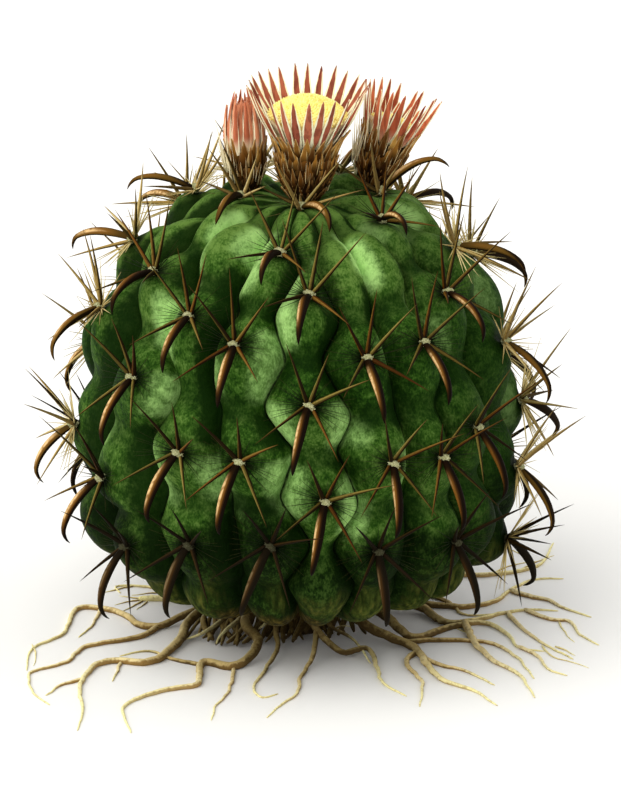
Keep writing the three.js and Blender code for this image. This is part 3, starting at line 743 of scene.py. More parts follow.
# The rims' painted highlights, then the colours of painted shade: on the flanks, in furrows and halos, and
# of the earth
HIGHLIGHT_GREENS = [(0.32, (0.16, 0.32, 0.070)), (0.70, (0.42, 0.70, 0.22))]
SHADE_GREEN = (0.0040, 0.0165, 0.0012)
DEEP_SHADE_GREEN = (0.0012, 0.0042, 0.0004)
EARTH_SHADE_GREEN = (0.0022, 0.0075, 0.0006)
OLIVES = [(0.35, (0.012, 0.016, 0.002)), (0.52, (0.050, 0.062, 0.010)), (0.70, (0.120, 0.120, 0.022))]
CORKS = [(0.35, (0.010, 0.008, 0.001)), (0.55, (0.044, 0.032, 0.006)), (0.75, (0.130, 0.095, 0.020))]
# Each colour sets in between two heights in metres, from one strength to another. Right and earth are
# painted shade.
AT_HEIGHT = {
    "middle": (0.125, 0.150, 0.03, -0.065), "shoulder": (0.155, 0.205, 0.0, 0.205),
    "sides": (0.13, 0.17, 0.0, 0.12), "right": (0.19, 0.14, 0.5, 1.0),
    "earth": (0.086, 0.070), "olive": (0.060, 0.048), "cork": (0.036, 0.026, 0.0, 0.9),
}


def skin_tint(finish, mottle, patches, grain, height):
    """Where the skin lies between its darkest and its palest green."""
    tint = finish.span(mottle, 0.1, 0.9, 0.22, 0.78)
    tint = finish.plus(tint, finish.span(grain, 0.25, 0.75, -0.11, 0.11))
    tint = finish.plus(tint, finish.span(patches, 0.3, 0.7, -0.08, 0.08))
    tint = finish.plus(tint, finish.span(height, *AT_HEIGHT["middle"]))
    tint = finish.plus(tint, finish.span(height, *AT_HEIGHT["shoulder"]))
    to_the_side = finish.math("ABSOLUTE", finish.stored("turned"))
    return finish.plus(tint, finish.times(to_the_side, finish.span(height, *AT_HEIGHT["sides"])))


def lit_rims(finish, color, tint, mottle, patches, height):
    """Painted highlights on the rims, painted shade on dark margins, on the right and between swellings."""
    margin = finish.plus(finish.stored("margin"), finish.span(mottle, 0.2, 0.8, -0.10, 0.10))
    # Painted highlights on the lit margins
    rim = finish.times(finish.span(margin, 0.0, 0.85), finish.span(patches, 0.3, 0.6, 0.7, 1.0))
    color = finish.mix(rim, color, finish.ramp(tint, HIGHLIGHT_GREENS))
    # Painted shade on the dark margins, and on the right of the stem, weaker near its top
    shade = finish.times(finish.span(margin, -0.02, -0.55), 0.93)
    to_the_right = finish.span(finish.stored("turned"), 0.4, 1.0, 0.0, 0.7)
    right = finish.times(to_the_right, finish.span(height, *AT_HEIGHT["right"]))
    color = finish.mix(finish.math("MAXIMUM", shade, right), color, SHADE_GREEN)
    # Painted shade in the notches between swellings
    between_swellings = finish.span(finish.stored("swell"), 0.62, 0.26)
    notch = finish.times(between_swellings, finish.span(patches, 0.3, 0.6, 0.85, 0.45))
    return finish.mix(notch, color, SHADE_GREEN)


def shaded_furrows_and_halos(finish, color, furrow):
    """Painted shade: near black in the furrows and in the halos of the areoles."""
    color = finish.mix(finish.span(furrow, 0.93, 0.995, 0.0, 0.92), color, DEEP_SHADE_GREEN)
    return finish.mix(finish.times(finish.stored("areole"), 0.95), color, DEEP_SHADE_GREEN)


def earth_shade_olive_and_cork(finish, color, tint, patches, furrow, height):
    """The earth's painted shade on the lowest third, olive patches on it and cork on the underside."""
    height = finish.plus(height, finish.span(patches, 0.3, 0.7, -0.012, 0.012))
    # Painted shade of the earth over the lowest third
    earth = finish.times(finish.span(height, *AT_HEIGHT["earth"]), finish.span(tint, 0.35, 0.70, 0.97, 0.72))
    color = finish.mix(earth, color, EARTH_SHADE_GREEN)
    strokes = finish.noise(420, detail=3, stretch=(1, 1, 0.22))
    olive = finish.times(finish.span(height, *AT_HEIGHT["olive"]), finish.span(furrow, 0.85, 0.45))
    olive = finish.times(olive, finish.span(patches, 0.42, 0.62, 0.0, 0.7))
    color = finish.mix(olive, color, finish.ramp(strokes, OLIVES))
    return finish.mix(finish.span(height, *AT_HEIGHT["cork"]), color, finish.ramp(strokes, CORKS))


print("greens of the leaf and of the rims:", len(LEAF_GREENS), len(HIGHLIGHT_GREENS))

# %% Paint the skin
def skin_finish():
    finish = Finish("cactus_skin", 0.65, 0.02)
    patches, mottle = finish.noise(24, detail=2), finish.noise(240, detail=5, roughness=0.7)
    grain = finish.noise(1200, detail=2, stretch=(1, 1, 0.5))
    furrow = finish.plus(finish.stored("furrow"), finish.span(mottle, 0.2, 0.8, -0.04, 0.04))
    height = finish.add("ShaderNodeSeparateXYZ", {"Vector": finish.place}, output="Z")
    tint = skin_tint(finish, mottle, patches, grain, height)
    color = finish.ramp(tint, LEAF_GREENS)
    color = lit_rims(finish, color, tint, mottle, patches, height)
    color = shaded_furrows_and_halos(finish, color, furrow)
    finish.color(earth_shade_olive_and_cork(finish, color, tint, patches, furrow, height))
    finish.rough(finish.span(mottle, 0.2, 0.8, 0.52, 0.70))
    finish.bump(finish.plus(mottle, finish.times(grain, 0.2)), 0.8)
    return finish


finish_piece(skin, "stem_skin", skin_finish(), "stem_skin", "stem")

# %% [markdown]
# ## Rods cut into rings
# Spines, bristles and roots are all tapering rods. A cylinder is added, its long edges are selected and
# subdivided so that it gets rings, and then every ring is moved where the rod's own shape wants it. The
# distance along the rod is stored for the colours.

# %% A rod with rings
def ringed_rod(sides, rings, shape):
    """shape(along, angle) gives a point, with along from 0 at the foot to 1 at the tip."""
    deselect()
    bpy.ops.mesh.primitive_cylinder_add(vertices=sides, radius=1, depth=1, location=(0, 0, 0.5))
    bpy.ops.object.transform_apply(location=True, rotation=True, scale=True)
    rod = bpy.context.object
    bpy.ops.object.mode_set(mode="EDIT")
    bpy.ops.mesh.select_mode(type="EDGE")
    bpy.ops.mesh.select_all(action="DESELECT")
    inside = bmesh.from_edit_mesh(rod.data)
    for edge in inside.edges:
        edge.select_set(abs(edge.verts[0].co.z - edge.verts[1].co.z) > 0.5)
    bmesh.update_edit_mesh(rod.data)
    bpy.ops.mesh.subdivide(number_cuts=rings - 1)
    bpy.ops.mesh.select_mode(type="VERT")
    bpy.ops.object.mode_set(mode="OBJECT")
    corners = corners_of(rod.data)
    along, angle = corners[:, 2], np.arctan2(corners[:, 1], corners[:, 0])
    set_corners(rod.data, [shape(a, b) for a, b in zip(along, angle)])
    store(rod.data, "along", along)
    return rod


trial = ringed_rod(8, 4, lambda along, angle: (math.cos(angle), math.sin(angle), along))
print("a trial rod has", len(trial.data.vertices), "points")
discard(trial)

# %% [markdown]
# ## Straight spines
# Five straight spines stand round each areole: three up in a fan and two down beside the hook. A real one
# is thick at the foot, ringed, and very slightly bowed. The pattern is 1 mm long and gets its length when
# planted. Its tone runs from dark brown on the ribs in front to golden straw where the spines stand against
# the sky.

# %% Model and plant the straight spines
PAD = {"radius": 3.2, "rise": 0.7, "crown": 1.3, "rim": [-18, 22, 90, 140, 220, 270]}
SPINE = {
    "sides": 7, "rings": 12, "radius": 1.12, "taper": 0.8, "tip": 0.03, "bow": 0.55,
    "swollen": 0.035, "swellings": 6, "sunk": 1.2,
}
SPINE_JITTER = {"turn": 5, "tilt": 5, "length": 0.1, "width": 0.12}
TONE = {"straw": 0.55, "chance": 0.225, "soil": 1.5}


def straight_shape(along, angle):
    ringed = 1 + SPINE["swollen"] * math.cos(along * math.tau * SPINE["swellings"])
    radius = SPINE["radius"] * ((1 - along) ** SPINE["taper"] + SPINE["tip"]) * ringed
    bow = 4 * SPINE["bow"] * along * (1 - along)
    return (radius * math.cos(angle), radius * math.sin(angle) + bow, along)


def leaning(areole, turn, tilt):
    turn, tilt = math.radians(turn), math.radians(tilt)
    aside = math.sin(tilt)
    return (
        areole["out"] * math.cos(tilt)
        + areole["up"] * (aside * math.cos(turn))
        + areole["right"] * (aside * math.sin(turn))
    )


def local_point(areole, out, up, right):
    return areole["at"] + areole["out"] * out + areole["up"] * up + areole["right"] * right


def rim_point(areole, turn):
    turn, radius = math.radians(turn), PAD["radius"] * areole["size"]
    return local_point(areole, PAD["rise"], radius * math.cos(turn), radius * math.sin(turn))


def standing(start, direction, right, width, length):
    """A frame with Z along the direction, stretched by the length, and X as near to right as it can be."""
    x = (right - direction * right.dot(direction)).normalized()
    y = direction.cross(x)
    turned = Matrix((x, y, direction)).transposed().to_4x4()
    return Matrix.Translation(start) @ turned @ Matrix.Diagonal((width, width, length, 1))


def tone_of(areole, *numbers):
    """0 for the darkest spines in front to 1 for straw against the sky, and down to -1 next to the soil."""
    luck = TONE["chance"] * (1 + draw(areole["seed"], *numbers))
    return TONE["straw"] * areole["straw"] + luck - TONE["soil"] * areole["soil"]


def spine_places():
    places = []
    for areole in AREOLES:
        seed, rim = areole["seed"], PAD["rim"]
        for i, spine in enumerate(areole["spines"]):
            if spine is None:
                continue
            turn = spine[0] + SPINE_JITTER["turn"] * draw(seed, i, 1)
            tilt = spine[1] + SPINE_JITTER["tilt"] * draw(seed, i, 2)
            length = spine[2] * areole["size"] * (1 + SPINE_JITTER["length"] * draw(seed, i, 3))
            crown = local_point(areole, PAD["crown"], 0, 0)
            middle = (crown + rim_point(areole, rim[i]) + rim_point(areole, rim[(i + 1) % len(rim)])) / 3
            direction = leaning(areole, turn, tilt)
            length = clear_length(middle, direction, length)
            start = middle - direction * SPINE["sunk"]
            width = areole["size"] ** 0.5 * (1 + SPINE_JITTER["width"] * draw(seed, i, 4))
            matrix = standing(start, direction, areole["right"], width, length + SPINE["sunk"])
            places.append((matrix, tone_of(areole, i, 5)))
    return places


spine_pattern = ringed_rod(SPINE["sides"], SPINE["rings"], straight_shape)
straight_spines = planted(spine_pattern, spine_places())
discard(spine_pattern)
print(len(straight_spines.data.polygons), "faces of straight spines")

# %% [markdown]
# ## Hooked spines
# One spine in each areole is different: broad and flat like a blade, rising out of the wool, swelling, and
# then curling down and back to a sharp hook. It starts as the same ringed rod, laid along a bent path, its
# section an ellipse with a low keel on the outer face. The path is given as steps out from the skin and
# down the rib. It also sways sideways, so there is one pattern for the hooks that lean left and one for
# those that lean right.

# %% Model and plant the hooks
HOOK_PATH = [(0.4, 1.2), (4, 4.5), (9.5, 10.5), (14, 17), (16.6, 24), (15.8, 28.5), (14.3, 31)]
HOOK_WIDTH = [2.9, 4.0, 4.7, 4.2, 3.0, 1.9, 0.25]
HOOK_THICKNESS = [2.2, 3.0, 3.6, 3.2, 2.2, 1.3, 0.25]
HOOK = {"sides": 10, "rings": 18, "sway": 1.7, "sway_fades": 0.4, "keel": 0.25, "look": 0.02}


def along_path(values, share):
    """A smooth curve through evenly shared values, at a share from 0 to 1."""
    spot = min(share * (len(values) - 1), len(values) - 1 - 1e-9)
    i, t = int(spot), spot - int(spot)
    a, b, c, d = (values[max(0, min(len(values) - 1, i + k))] for k in (-1, 0, 1, 2))
    return b + 0.5 * t * (c - a + t * (2 * a - 5 * b + 4 * c - d + t * (3 * (b - c) + d - a)))


def hook_spot(along):
    along = max(0, min(1, along))
    return Vector([along_path([step[axis] for step in HOOK_PATH], along) for axis in (0, 1)])


def hook_shape_leaning(lean):
    def shape(along, angle):
        out, down = hook_spot(along)
        slope = (hook_spot(along + HOOK["look"]) - hook_spot(along - HOOK["look"])).normalized()
        width, thickness = along_path(HOOK_WIDTH, along) / 2, along_path(HOOK_THICKNESS, along)
        up, keel = math.sin(angle), HOOK["keel"]
        rise = thickness * (0.5 + 0.5 * up * (1 if up < 0 else 1 - keel + keel * up ** 4))
        sway = lean * HOOK["sway"] * math.sin(math.pi * along) * (1 - HOOK["sway_fades"] * along)
        return (width * math.cos(angle) + sway, slope.x * rise - down, out + slope.y * rise)

    return shape


def hook_places(lean):
    places = []
    for areole in AREOLES:
        if areole["lean"] == lean:
            axes = Matrix((areole["right"], areole["up"], areole["out"])).transposed().to_4x4()
            matrix = Matrix.Translation(areole["at"]) @ axes @ Matrix.Scale(areole["size"], 4)
            places.append((matrix, tone_of(areole, 3, 5)))
    return places


hook_pieces = []
for lean in (-1, 1):
    hook_pattern = ringed_rod(HOOK["sides"], HOOK["rings"], hook_shape_leaning(lean))
    hook_pieces.append(planted(hook_pattern, hook_places(lean)))
    discard(hook_pattern)
hooked_spines = joined(hook_pieces)
print(len(hooked_spines.data.polygons), "faces of hooks")

# %% [markdown]
# ## Horn colours
# The spines are horn. Its body runs from dark brown through olive brown to golden straw by the spine's
# tone, with a painted highlight towards the upper left and painted shade on the lower right. The hooks are
# nearly black at the foot and the tip; in between a painted highlight glows orange on the side turned to
# the light, with a narrow cream streak of painted highlight, and those against the sky are golden brown.
# The lowest spines, in the earth's painted shade next to the soil, are almost black. All of it is painted
# from what the rods store.

# %% Colours of the straight spines
# The painter's light, from which the spines' painted highlights and shade are taken
SPINE_LIGHT = (-0.82, -0.30, 0.48)
HORN_TONES = [
    (0.0, (0.040, 0.013, 0.001)), (0.12, (0.120, 0.042, 0.004)), (0.26, (0.066, 0.048, 0.008)),
    (0.42, (0.120, 0.080, 0.014)), (0.65, (0.30, 0.19, 0.048)), (1.0, (0.52, 0.36, 0.120)),
]
# Painted highlights on the side turned to the light. In HORN, dark is painted shade on the side turned away,
# and tip and fibre are the horn's own colours
HORN_HIGHLIGHTS = [(0.0, (0.21, 0.105, 0.016)), (0.4, (0.30, 0.24, 0.060)), (1.0, (0.80, 0.66, 0.33))]
HORN = {"dark": (0.008, 0.004, 0.001), "tip": (0.050, 0.025, 0.006), "fibre": (0.020, 0.009, 0.002)}
EARTH_SHADE_BLACK = (0.007, 0.005, 0.002)
HORN_RINGS = 90.0


def earth_shaded(finish, color, shade):
    """Painted shade of the earth: darkens what grows near the soil."""
    share = finish.span(finish.stored("tone"), 0.0, -0.5, 0.0, shade)
    return finish.mix(share, color, EARTH_SHADE_BLACK)


def straight_horn():
    finish = Finish("spine_horn", 0.65, 0.04)
    along, lit, tone = finish.stored("along"), finish.stored("lit"), finish.stored("tone")
    fibre = finish.noise(700, detail=2)
    color = finish.ramp(tone, HORN_TONES)
    # Painted highlight on the side turned to the light
    color = finish.mix(finish.span(lit, 0.66, 0.95, 0.0, 0.9), color, finish.ramp(tone, HORN_HIGHLIGHTS))
    # Painted shade on the side turned away, weaker on straw spines
    dark = finish.times(finish.span(lit, 0.50, 0.18), finish.span(tone, 0.45, 1.0, 0.97, 0.5))
    color = finish.mix(dark, color, HORN["dark"])
    color = finish.mix(finish.span(along, 0.6, 1.0, 0.0, 0.6), color, HORN["tip"])
    color = finish.mix(finish.span(fibre, 0.5, 0.75, 0.0, 0.3), color, HORN["fibre"])
    finish.color(earth_shaded(finish, color, 0.85))
    rings = finish.math("SINE", finish.times(along, HORN_RINGS))
    finish.bump(finish.plus(finish.times(rings, 0.25), fibre), 0.12)
    return finish


print(len(HORN_TONES), "browns from the darkest spine to straw")

# %% Colours of the hooks
HOOK_BROWNS = [
    (0.0, (0.005, 0.002, 0.001)), (0.2, (0.012, 0.005, 0.001)), (0.45, (0.034, 0.012, 0.002)),
    (0.65, (0.018, 0.007, 0.001)), (1.0, (0.003, 0.002, 0.001)),
]
HOOK_GOLDS = [
    (0.0, (0.040, 0.022, 0.004)), (0.3, (0.095, 0.050, 0.007)), (0.6, (0.130, 0.068, 0.010)),
    (0.85, (0.070, 0.032, 0.005)), (1.0, (0.022, 0.010, 0.002)),
]
# Painted highlights, an orange glow and a cream streak, and the near black of painted shade
HOOK_PAINT = {"glow": (0.21, 0.088, 0.013), "highlight_streak": (0.78, 0.52, 0.24), "dark": (0.004, 0.002, 0.001)}


def hook_horn():
    finish = Finish("hook_horn", 0.6, 0.03)
    along, lit, tone = finish.stored("along"), finish.stored("lit"), finish.stored("tone")
    fibre = finish.noise(600, detail=3, stretch=(1, 1, 0.5))
    against_sky = finish.span(tone, 0.35, 0.75)
    color = finish.mix(against_sky, finish.ramp(along, HOOK_BROWNS), finish.ramp(along, HOOK_GOLDS))
    middle = finish.times(finish.span(along, 0.16, 0.36), finish.span(along, 0.76, 0.50))
    # Painted highlight: an orange glow on the side turned to the light, in the middle of the hook
    glow = finish.times(finish.span(lit, 0.42, 0.80), middle)
    color = finish.mix(finish.times(glow, 0.8), color, HOOK_PAINT["glow"])
    highlight_streak = finish.times(finish.span(lit, 0.76, 0.94), finish.span(along, 0.18, 0.36))
    highlight_streak = finish.times(highlight_streak, finish.span(along, 0.70, 0.50))
    highlight_streak = finish.times(highlight_streak, finish.span(fibre, 0.30, 0.60, 0.2, 1.0))
    color = finish.mix(highlight_streak, color, HOOK_PAINT["highlight_streak"])
    # Painted shade on the side turned away from the light
    color = finish.mix(finish.span(lit, 0.44, 0.16, 0.0, 0.94), color, HOOK_PAINT["dark"])
    finish.color(earth_shaded(finish, color, 0.8))
    finish.rough(finish.span(fibre, 0.2, 0.8, 0.52, 0.70))
    finish.bump(fibre, 0.12)
    return finish


for horn in (straight_spines, hooked_spines):
    store_lit(horn, SPINE_LIGHT)
finish_piece(straight_spines, "straight_spines", straight_horn(), "spines", "stem")
finish_piece(hooked_spines, "hooked_spines", hook_horn(), "spines", "stem")

# %% [markdown]
# ## Bristles
# Between the stout spines a fan of fine bristles spreads to both sides, close over the skin. They are what
# draws the thin dark lines over the green, and against the sky they show as pale straws. Three sides are
# enough for a rod this thin.

# %% Model and plant the bristles
BRISTLE = {"radius": 0.24, "thinner": 0.85, "rings": 4, "sides": 3, "bow": 0.08, "foot": 2.6, "rise": 0.6}
BRISTLE_FAN = {
    "each_side": 11, "on_crown": 4, "turn": (52, 132), "sway": 4, "tilt": (66, 86), "length": (11, 20),
    "seed": 31,
}
BRISTLE_TUFT = {"count": 4, "turn": 26, "tilt": (50, 66), "length": (10, 16), "seed": 37}
AGAINST_SKY = {"longer": 0.4, "wider": 1.1, "on_crown": 0.2, "tone": 0.62, "chance": 0.19}


def bristle_shape(along, angle):
    radius = BRISTLE["radius"] * (1 - BRISTLE["thinner"] * along)
    return (radius * math.cos(angle), radius * math.sin(angle) - BRISTLE["bow"] * along * along, along)


def bristle_place(areole, turn, tilt, length, seed):
    turned, size = math.radians(turn), areole["size"]
    foot = BRISTLE["foot"] * size
    rise = PAD["rise"] * BRISTLE["rise"]
    start = local_point(areole, rise, foot * math.cos(turned), foot * math.sin(turned))
    direction = leaning(areole, turn, tilt)
    sky = AGAINST_SKY["on_crown"] if areole["crown"] else areole["straw"]
    length *= size * (1 + AGAINST_SKY["longer"] * sky)
    length = clear_length(start, direction, length)
    right = areole["out"].cross(direction).normalized()
    tone = AGAINST_SKY["tone"] * sky + AGAINST_SKY["chance"] * (1 + draw(seed, 7))
    return standing(start, direction, right, 1 + AGAINST_SKY["wider"] * sky, length), tone


def bristle_places():
    places = []
    for areole in AREOLES:
        each_side = BRISTLE_FAN["on_crown" if areole["crown"] else "each_side"]
        for side in (-1, 1):
            for i in range(each_side):
                seed = areole["seed"] * BRISTLE_FAN["seed"] + i * side
                turn = between(BRISTLE_FAN["turn"], i / (each_side - 1))
                turn += BRISTLE_FAN["sway"] * draw(seed, 1)
                tilt = between(BRISTLE_FAN["tilt"], chance(seed, 2))
                length = between(BRISTLE_FAN["length"], chance(seed, 3))
                places.append(bristle_place(areole, side * turn, tilt, length, seed))
        for i in range(BRISTLE_TUFT["count"]):
            seed = areole["seed"] * BRISTLE_TUFT["seed"] + i
            turn = BRISTLE_TUFT["turn"] * draw(seed, 1)
            tilt = between(BRISTLE_TUFT["tilt"], chance(seed, 2))
            length = between(BRISTLE_TUFT["length"], chance(seed, 3))
            places.append(bristle_place(areole, turn, tilt, length, seed))
    return places


def bristle_finish(name, tones, tip):
    finish = Finish(name, 0.6, 0.1)
    color = finish.ramp(finish.stored("tone"), tones)
    finish.color(finish.mix(finish.span(finish.stored("along"), 0.5, 1.0, 0.0, 0.4), color, tip))
    return finish


BRISTLE_TONES = [
    (0.0, (0.002, 0.008, 0.001)), (0.38, (0.010, 0.014, 0.002)), (0.65, (0.46, 0.34, 0.115)),
    (1.0, (0.80, 0.67, 0.32)),
]
BRISTLE_TIP = (0.08, 0.06, 0.015)
bristle_pattern = ringed_rod(BRISTLE["sides"], BRISTLE["rings"], bristle_shape)
bristles = planted(bristle_pattern, bristle_places())
discard(bristle_pattern)
bristle_horn = bristle_finish("bristle_horn", BRISTLE_TONES, BRISTLE_TIP)
finish_piece(bristles, "radial_bristles", bristle_horn, "spines", "stem")

# %% [markdown]
# ## Wool
# Each areole is a small cushion of grey-green felt, wider than tall, that hides the feet of the spines. A
# subdivided ball is flattened and made lumpy by noise, which gives the felt its outline, and the nodes add
# its fibres.

# %% Model and plant the wool
WOOL = {"wide": 2.7, "tall": 1.9, "thick": 2.5, "rise": 0.9, "lumps": 0.5, "lumpy": 2.6, "earth_shaded": 2}
FELT = [(0.3, (0.16, 0.15, 0.06)), (0.48, (0.38, 0.38, 0.18)), (0.65, (0.68, 0.68, 0.42))]
DULL_FELT = (0.18, 0.18, 0.08)


def model_wool():
    deselect()
    bpy.ops.mesh.primitive_ico_sphere_add(subdivisions=3, radius=1)
    tuft = bpy.context.object
    ball = corners_of(tuft.data)
    lumps = np.array([1 + WOOL["lumps"] * noise.noise(Vector(point) * WOOL["lumpy"]) for point in ball])
    points = ball * lumps[:, None] * (WOOL["wide"], WOOL["tall"], WOOL["thick"])
    set_corners(tuft.data, points + (0, 0, WOOL["rise"]))
    return tuft


def wool_places():
    places = []
    for areole in AREOLES:
        axes = Matrix((areole["right"], areole["up"], areole["out"])).transposed().to_4x4()
        spin = Matrix.Rotation(math.pi * (areole["seed"] % 2), 4, "Z")
        matrix = Matrix.Translation(areole["at"]) @ axes @ spin @ Matrix.Scale(areole["size"] ** 0.5, 4)
        places.append((matrix, chance(areole["seed"], 9) - WOOL["earth_shaded"] * areole["soil"]))
    return places


def wool_finish():
    finish = Finish("areole_wool", 0.95, 0.1)
    tone, fibre = finish.stored("tone"), finish.noise(1500, detail=4, roughness=0.7)
    color = finish.mix(finish.span(tone, 0.0, 1.0, 0.3, 0.0), finish.ramp(fibre, FELT), DULL_FELT)
    finish.color(earth_shaded(finish, color, 0.88))
    finish.bump(fibre, 0.5)
    return finish


wool_pattern = model_wool()
wool = planted(wool_pattern, wool_places())
discard(wool_pattern)
finish_piece(wool, "areole_wool_tufts", wool_finish(), "wool", "stem")

# %% [markdown]
# ## Blades
# Tepals and scales are thin blades: broad below, pointed above, keeled along the middle. A flat grid is
# added and its points moved, then a Solidify modifier gives the thickness. The grid's two directions are
# stored, one along the blade and one across it. Where a coloured stripe runs up the blade, how far inside
# it a point lies is stored too, in millimetres.

# %% A blade from a grid
def blade(columns, rows, thickness, shape, stripe=None):
    """shape and stripe take across from -1 to 1 and along from 0 to 1, and give a point and millimetres."""
    deselect()
    bpy.ops.mesh.primitive_grid_add(x_subdivisions=columns, y_subdivisions=rows, size=2)
    piece = bpy.context.object
    flat = corners_of(piece.data)
    across, along = flat[:, 0], (flat[:, 1] + 1) / 2
    set_corners(piece.data, [shape(a, b) for a, b in zip(across, along)])
    store(piece.data, "across", across)
    store(piece.data, "along", along)
    if stripe:
        store(piece.data, "stripe", [stripe(a, b) for a, b in zip(across, along)])
    modifier = piece.modifiers.new("thickness", "SOLIDIFY")
    modifier.thickness = thickness
    modifier.offset = 0
    bpy.ops.object.modifier_apply(modifier=modifier.name)
    return piece


TURN_PER_NOD = 0.12


def profile_point(profile, along):
    return along_path([r for r, _ in profile], along), along_path([h for _, h in profile], along)


def ring_of(pattern, frame_matrix, row, offset):
    """Copies round the axis. Those at the sides turn their inner face a little to the flower's front."""
    places, seed, (nod_range, length_range) = [], row["seed"], row["loose"]
    foot, tip = (Vector((0, -radius, height)) for radius, height in (row["profile"][0], row["profile"][-1]))
    for i in range(row["count"]):
        turn = math.tau * (i + offset + TURN_PER_NOD * nod_range * draw(seed, i, 4)) / row["count"]
        face = Matrix.Rotation(math.radians(row["face"]) * math.sin(turn), 4, tip - foot)
        roll = Matrix.Translation(foot) @ face @ Matrix.Translation(-foot)
        nod = Matrix.Rotation(math.radians(nod_range * draw(seed, i, 1)), 4, "X")
        stretch = Matrix.Scale(1 + length_range * draw(seed, i, 2), 4, Vector((0, 0, 1)))
        matrix = frame_matrix @ Matrix.Rotation(turn, 4, "Z") @ nod @ roll @ stretch
        places.append((matrix, chance(seed, i, 3)))
    return planted(pattern, places)


print("blades ready")

# %% [markdown]
# ## Tepals
# The open flower is one ring of lance-shaped tepals, cream with a red-brown spindle up the middle. Their
# cream margins touch in the lower half, so the flower is a pale striped cup, and above it every tepal runs
# out to a sharp point. The half-open flower is steeper and redder. The bud is a shaggy bundle of narrow
# tepals whose tips lean together. One blade is modelled for each ring, standing at the flower's front, and
# turned round the axis.

# %% Model the tepals
TEPAL_ROWS = {
    "flower_centre": [
        {"count": 26, "profile": [(12.6, 27), (16.8, 33), (20.2, 39), (24, 46.5), (27.6, 54.5)], "seed": 21,
         "full": 0.52, "taper": 0.9, "stripe": 1.8, "loose": (0.9, 0.012), "face": 34},
    ],
    "flower_right": [
        {"count": 18, "profile": [(9.6, 21), (11.6, 26), (13.2, 31), (15.2, 38), (17, 45.5)], "seed": 23,
         "full": 0.42, "taper": 0.8, "stripe": 1.7, "loose": (2.2, 0.03), "face": 25},
        {"count": 11, "profile": [(8.6, 22), (10, 26), (11, 29), (12.0, 33), (12.8, 37)], "seed": 24,
         "full": 0.3, "taper": 0.8, "stripe": 1.7, "loose": (3, 0.04), "face": 0},
    ],
    "flower_left": [
        {"count": 17, "profile": [(7.2, 17), (8.3, 23), (8.4, 29), (7.6, 36), (6.4, 42)], "seed": 25,
         "full": 0.5, "taper": 0.8, "stripe": 1.25, "loose": (3, 0.09), "face": 0},
        {"count": 13, "profile": [(6.4, 17), (7.4, 24), (7.0, 31), (5.6, 38), (3.6, 44.5)], "seed": 26,
         "full": 0.5, "taper": 0.8, "stripe": 1.25, "loose": (3.4, 0.05), "face": 0},
    ],
}
THROAT = {
    "flower_centre": {"foot": (11.6, 27), "top": (18.2, 38.4), "stripe": -1},
    "flower_right": {"foot": (8.4, 21), "top": (10.6, 30.4), "stripe": -1},
    "flower_left": {"foot": (6.0, 17), "top": (3.6, 40), "stripe": 1},
}
PLUG = {"sides": 36, "rings": 5}
TEPAL = {
    "columns": 10, "rows": 14, "thickness": 0.4, "keel": 0.7, "touch": 1.02, "raised": 0.6,
    "stripe_low": 0.46, "stripe_tip": 0.6,
}


def half_width(row, along):
    """Half the tepal's width: touching its neighbours up to where it is full, then drawn out to a point."""
    radius, _ = profile_point(row["profile"], along)
    share = min(1, (1 - along) / (1 - row["full"]))
    return TEPAL["touch"] * math.pi * radius / row["count"] * share ** row["taper"]


def tepal_shape(row):
    def shape(across, along):
        radius, height = profile_point(row["profile"], along)
        bend = half_width(row, along) * across / radius
        radius += TEPAL["keel"] * (1 - abs(across)) * (1 - 0.5 * along)
        return (radius * math.sin(bend), -radius * math.cos(bend), height)

    return shape


def tepal_stripe(row):
    def inside(across, along):
        low = TEPAL["stripe_low"]
        rising, falling = math.sin(math.pi / 2 * along / low), (1 - along) / (1 - low)
        swell = rising if along < low else falling ** TEPAL["stripe_tip"]
        return row["stripe"] * swell - abs(across) * half_width(row, along)

    return inside


def throat(name):
    """The plug where the feet of tepals and stamens meet: pale, but red like the tepals inside the bud."""
    (low_radius, low), (high_radius, high) = THROAT[name]["foot"], THROAT[name]["top"]

    def shape(along, angle):
        radius = low_radius + (high_radius - low_radius) * along
        return (radius * math.cos(angle), radius * math.sin(angle), low + (high - low) * along)

    plug = ringed_rod(PLUG["sides"], PLUG["rings"], shape)
    piece = planted(plug, [(FLOWERS[name]["frame"], 0.5)])
    discard(plug)
    store(piece.data, "stripe", [THROAT[name]["stripe"]] * len(piece.data.vertices))
    return piece


def flower_tepals(name):
    rings = []
    matrix = FLOWERS[name]["frame"] @ Matrix.Translation((0, 0, TEPAL["raised"]))
    grid = (TEPAL["columns"], TEPAL["rows"], TEPAL["thickness"])
    for index, row in enumerate(TEPAL_ROWS[name]):
        pattern = blade(*grid, tepal_shape(row), tepal_stripe(row))
        rings.append(ring_of(pattern, matrix, row, 0.5 * index))
        discard(pattern)
    return joined(rings + [throat(name)])


print(sum(len(rows) for rows in TEPAL_ROWS.values()), "rings of tepals")

# %% Paint the tepals
TEPAL_PAINTS = {
    "flower_centre": {
        "finish": "open_tepal", "cream": (1.0, 0.96, 0.66), "light": (0.60, 0.190, 0.100),
        "dark": (0.240, 0.052, 0.032), "foot_glow": 0.0,
    },
    "flower_right": {
        "finish": "half_open_tepal", "cream": (1.0, 0.96, 0.66), "light": (0.70, 0.200, 0.085),
        "dark": (0.32, 0.055, 0.024), "foot_glow": 0.2,
    },
    "flower_left": {
        "finish": "bud_tepal", "cream": (1.0, 0.86, 0.60), "light": (0.92, 0.40, 0.21),
        "dark": (0.50, 0.135, 0.062), "foot_glow": 0.9,
    },
}
STRAW_VEIN, ORANGE_TIP = (0.90, 0.70, 0.34), (0.85, 0.45, 0.20)


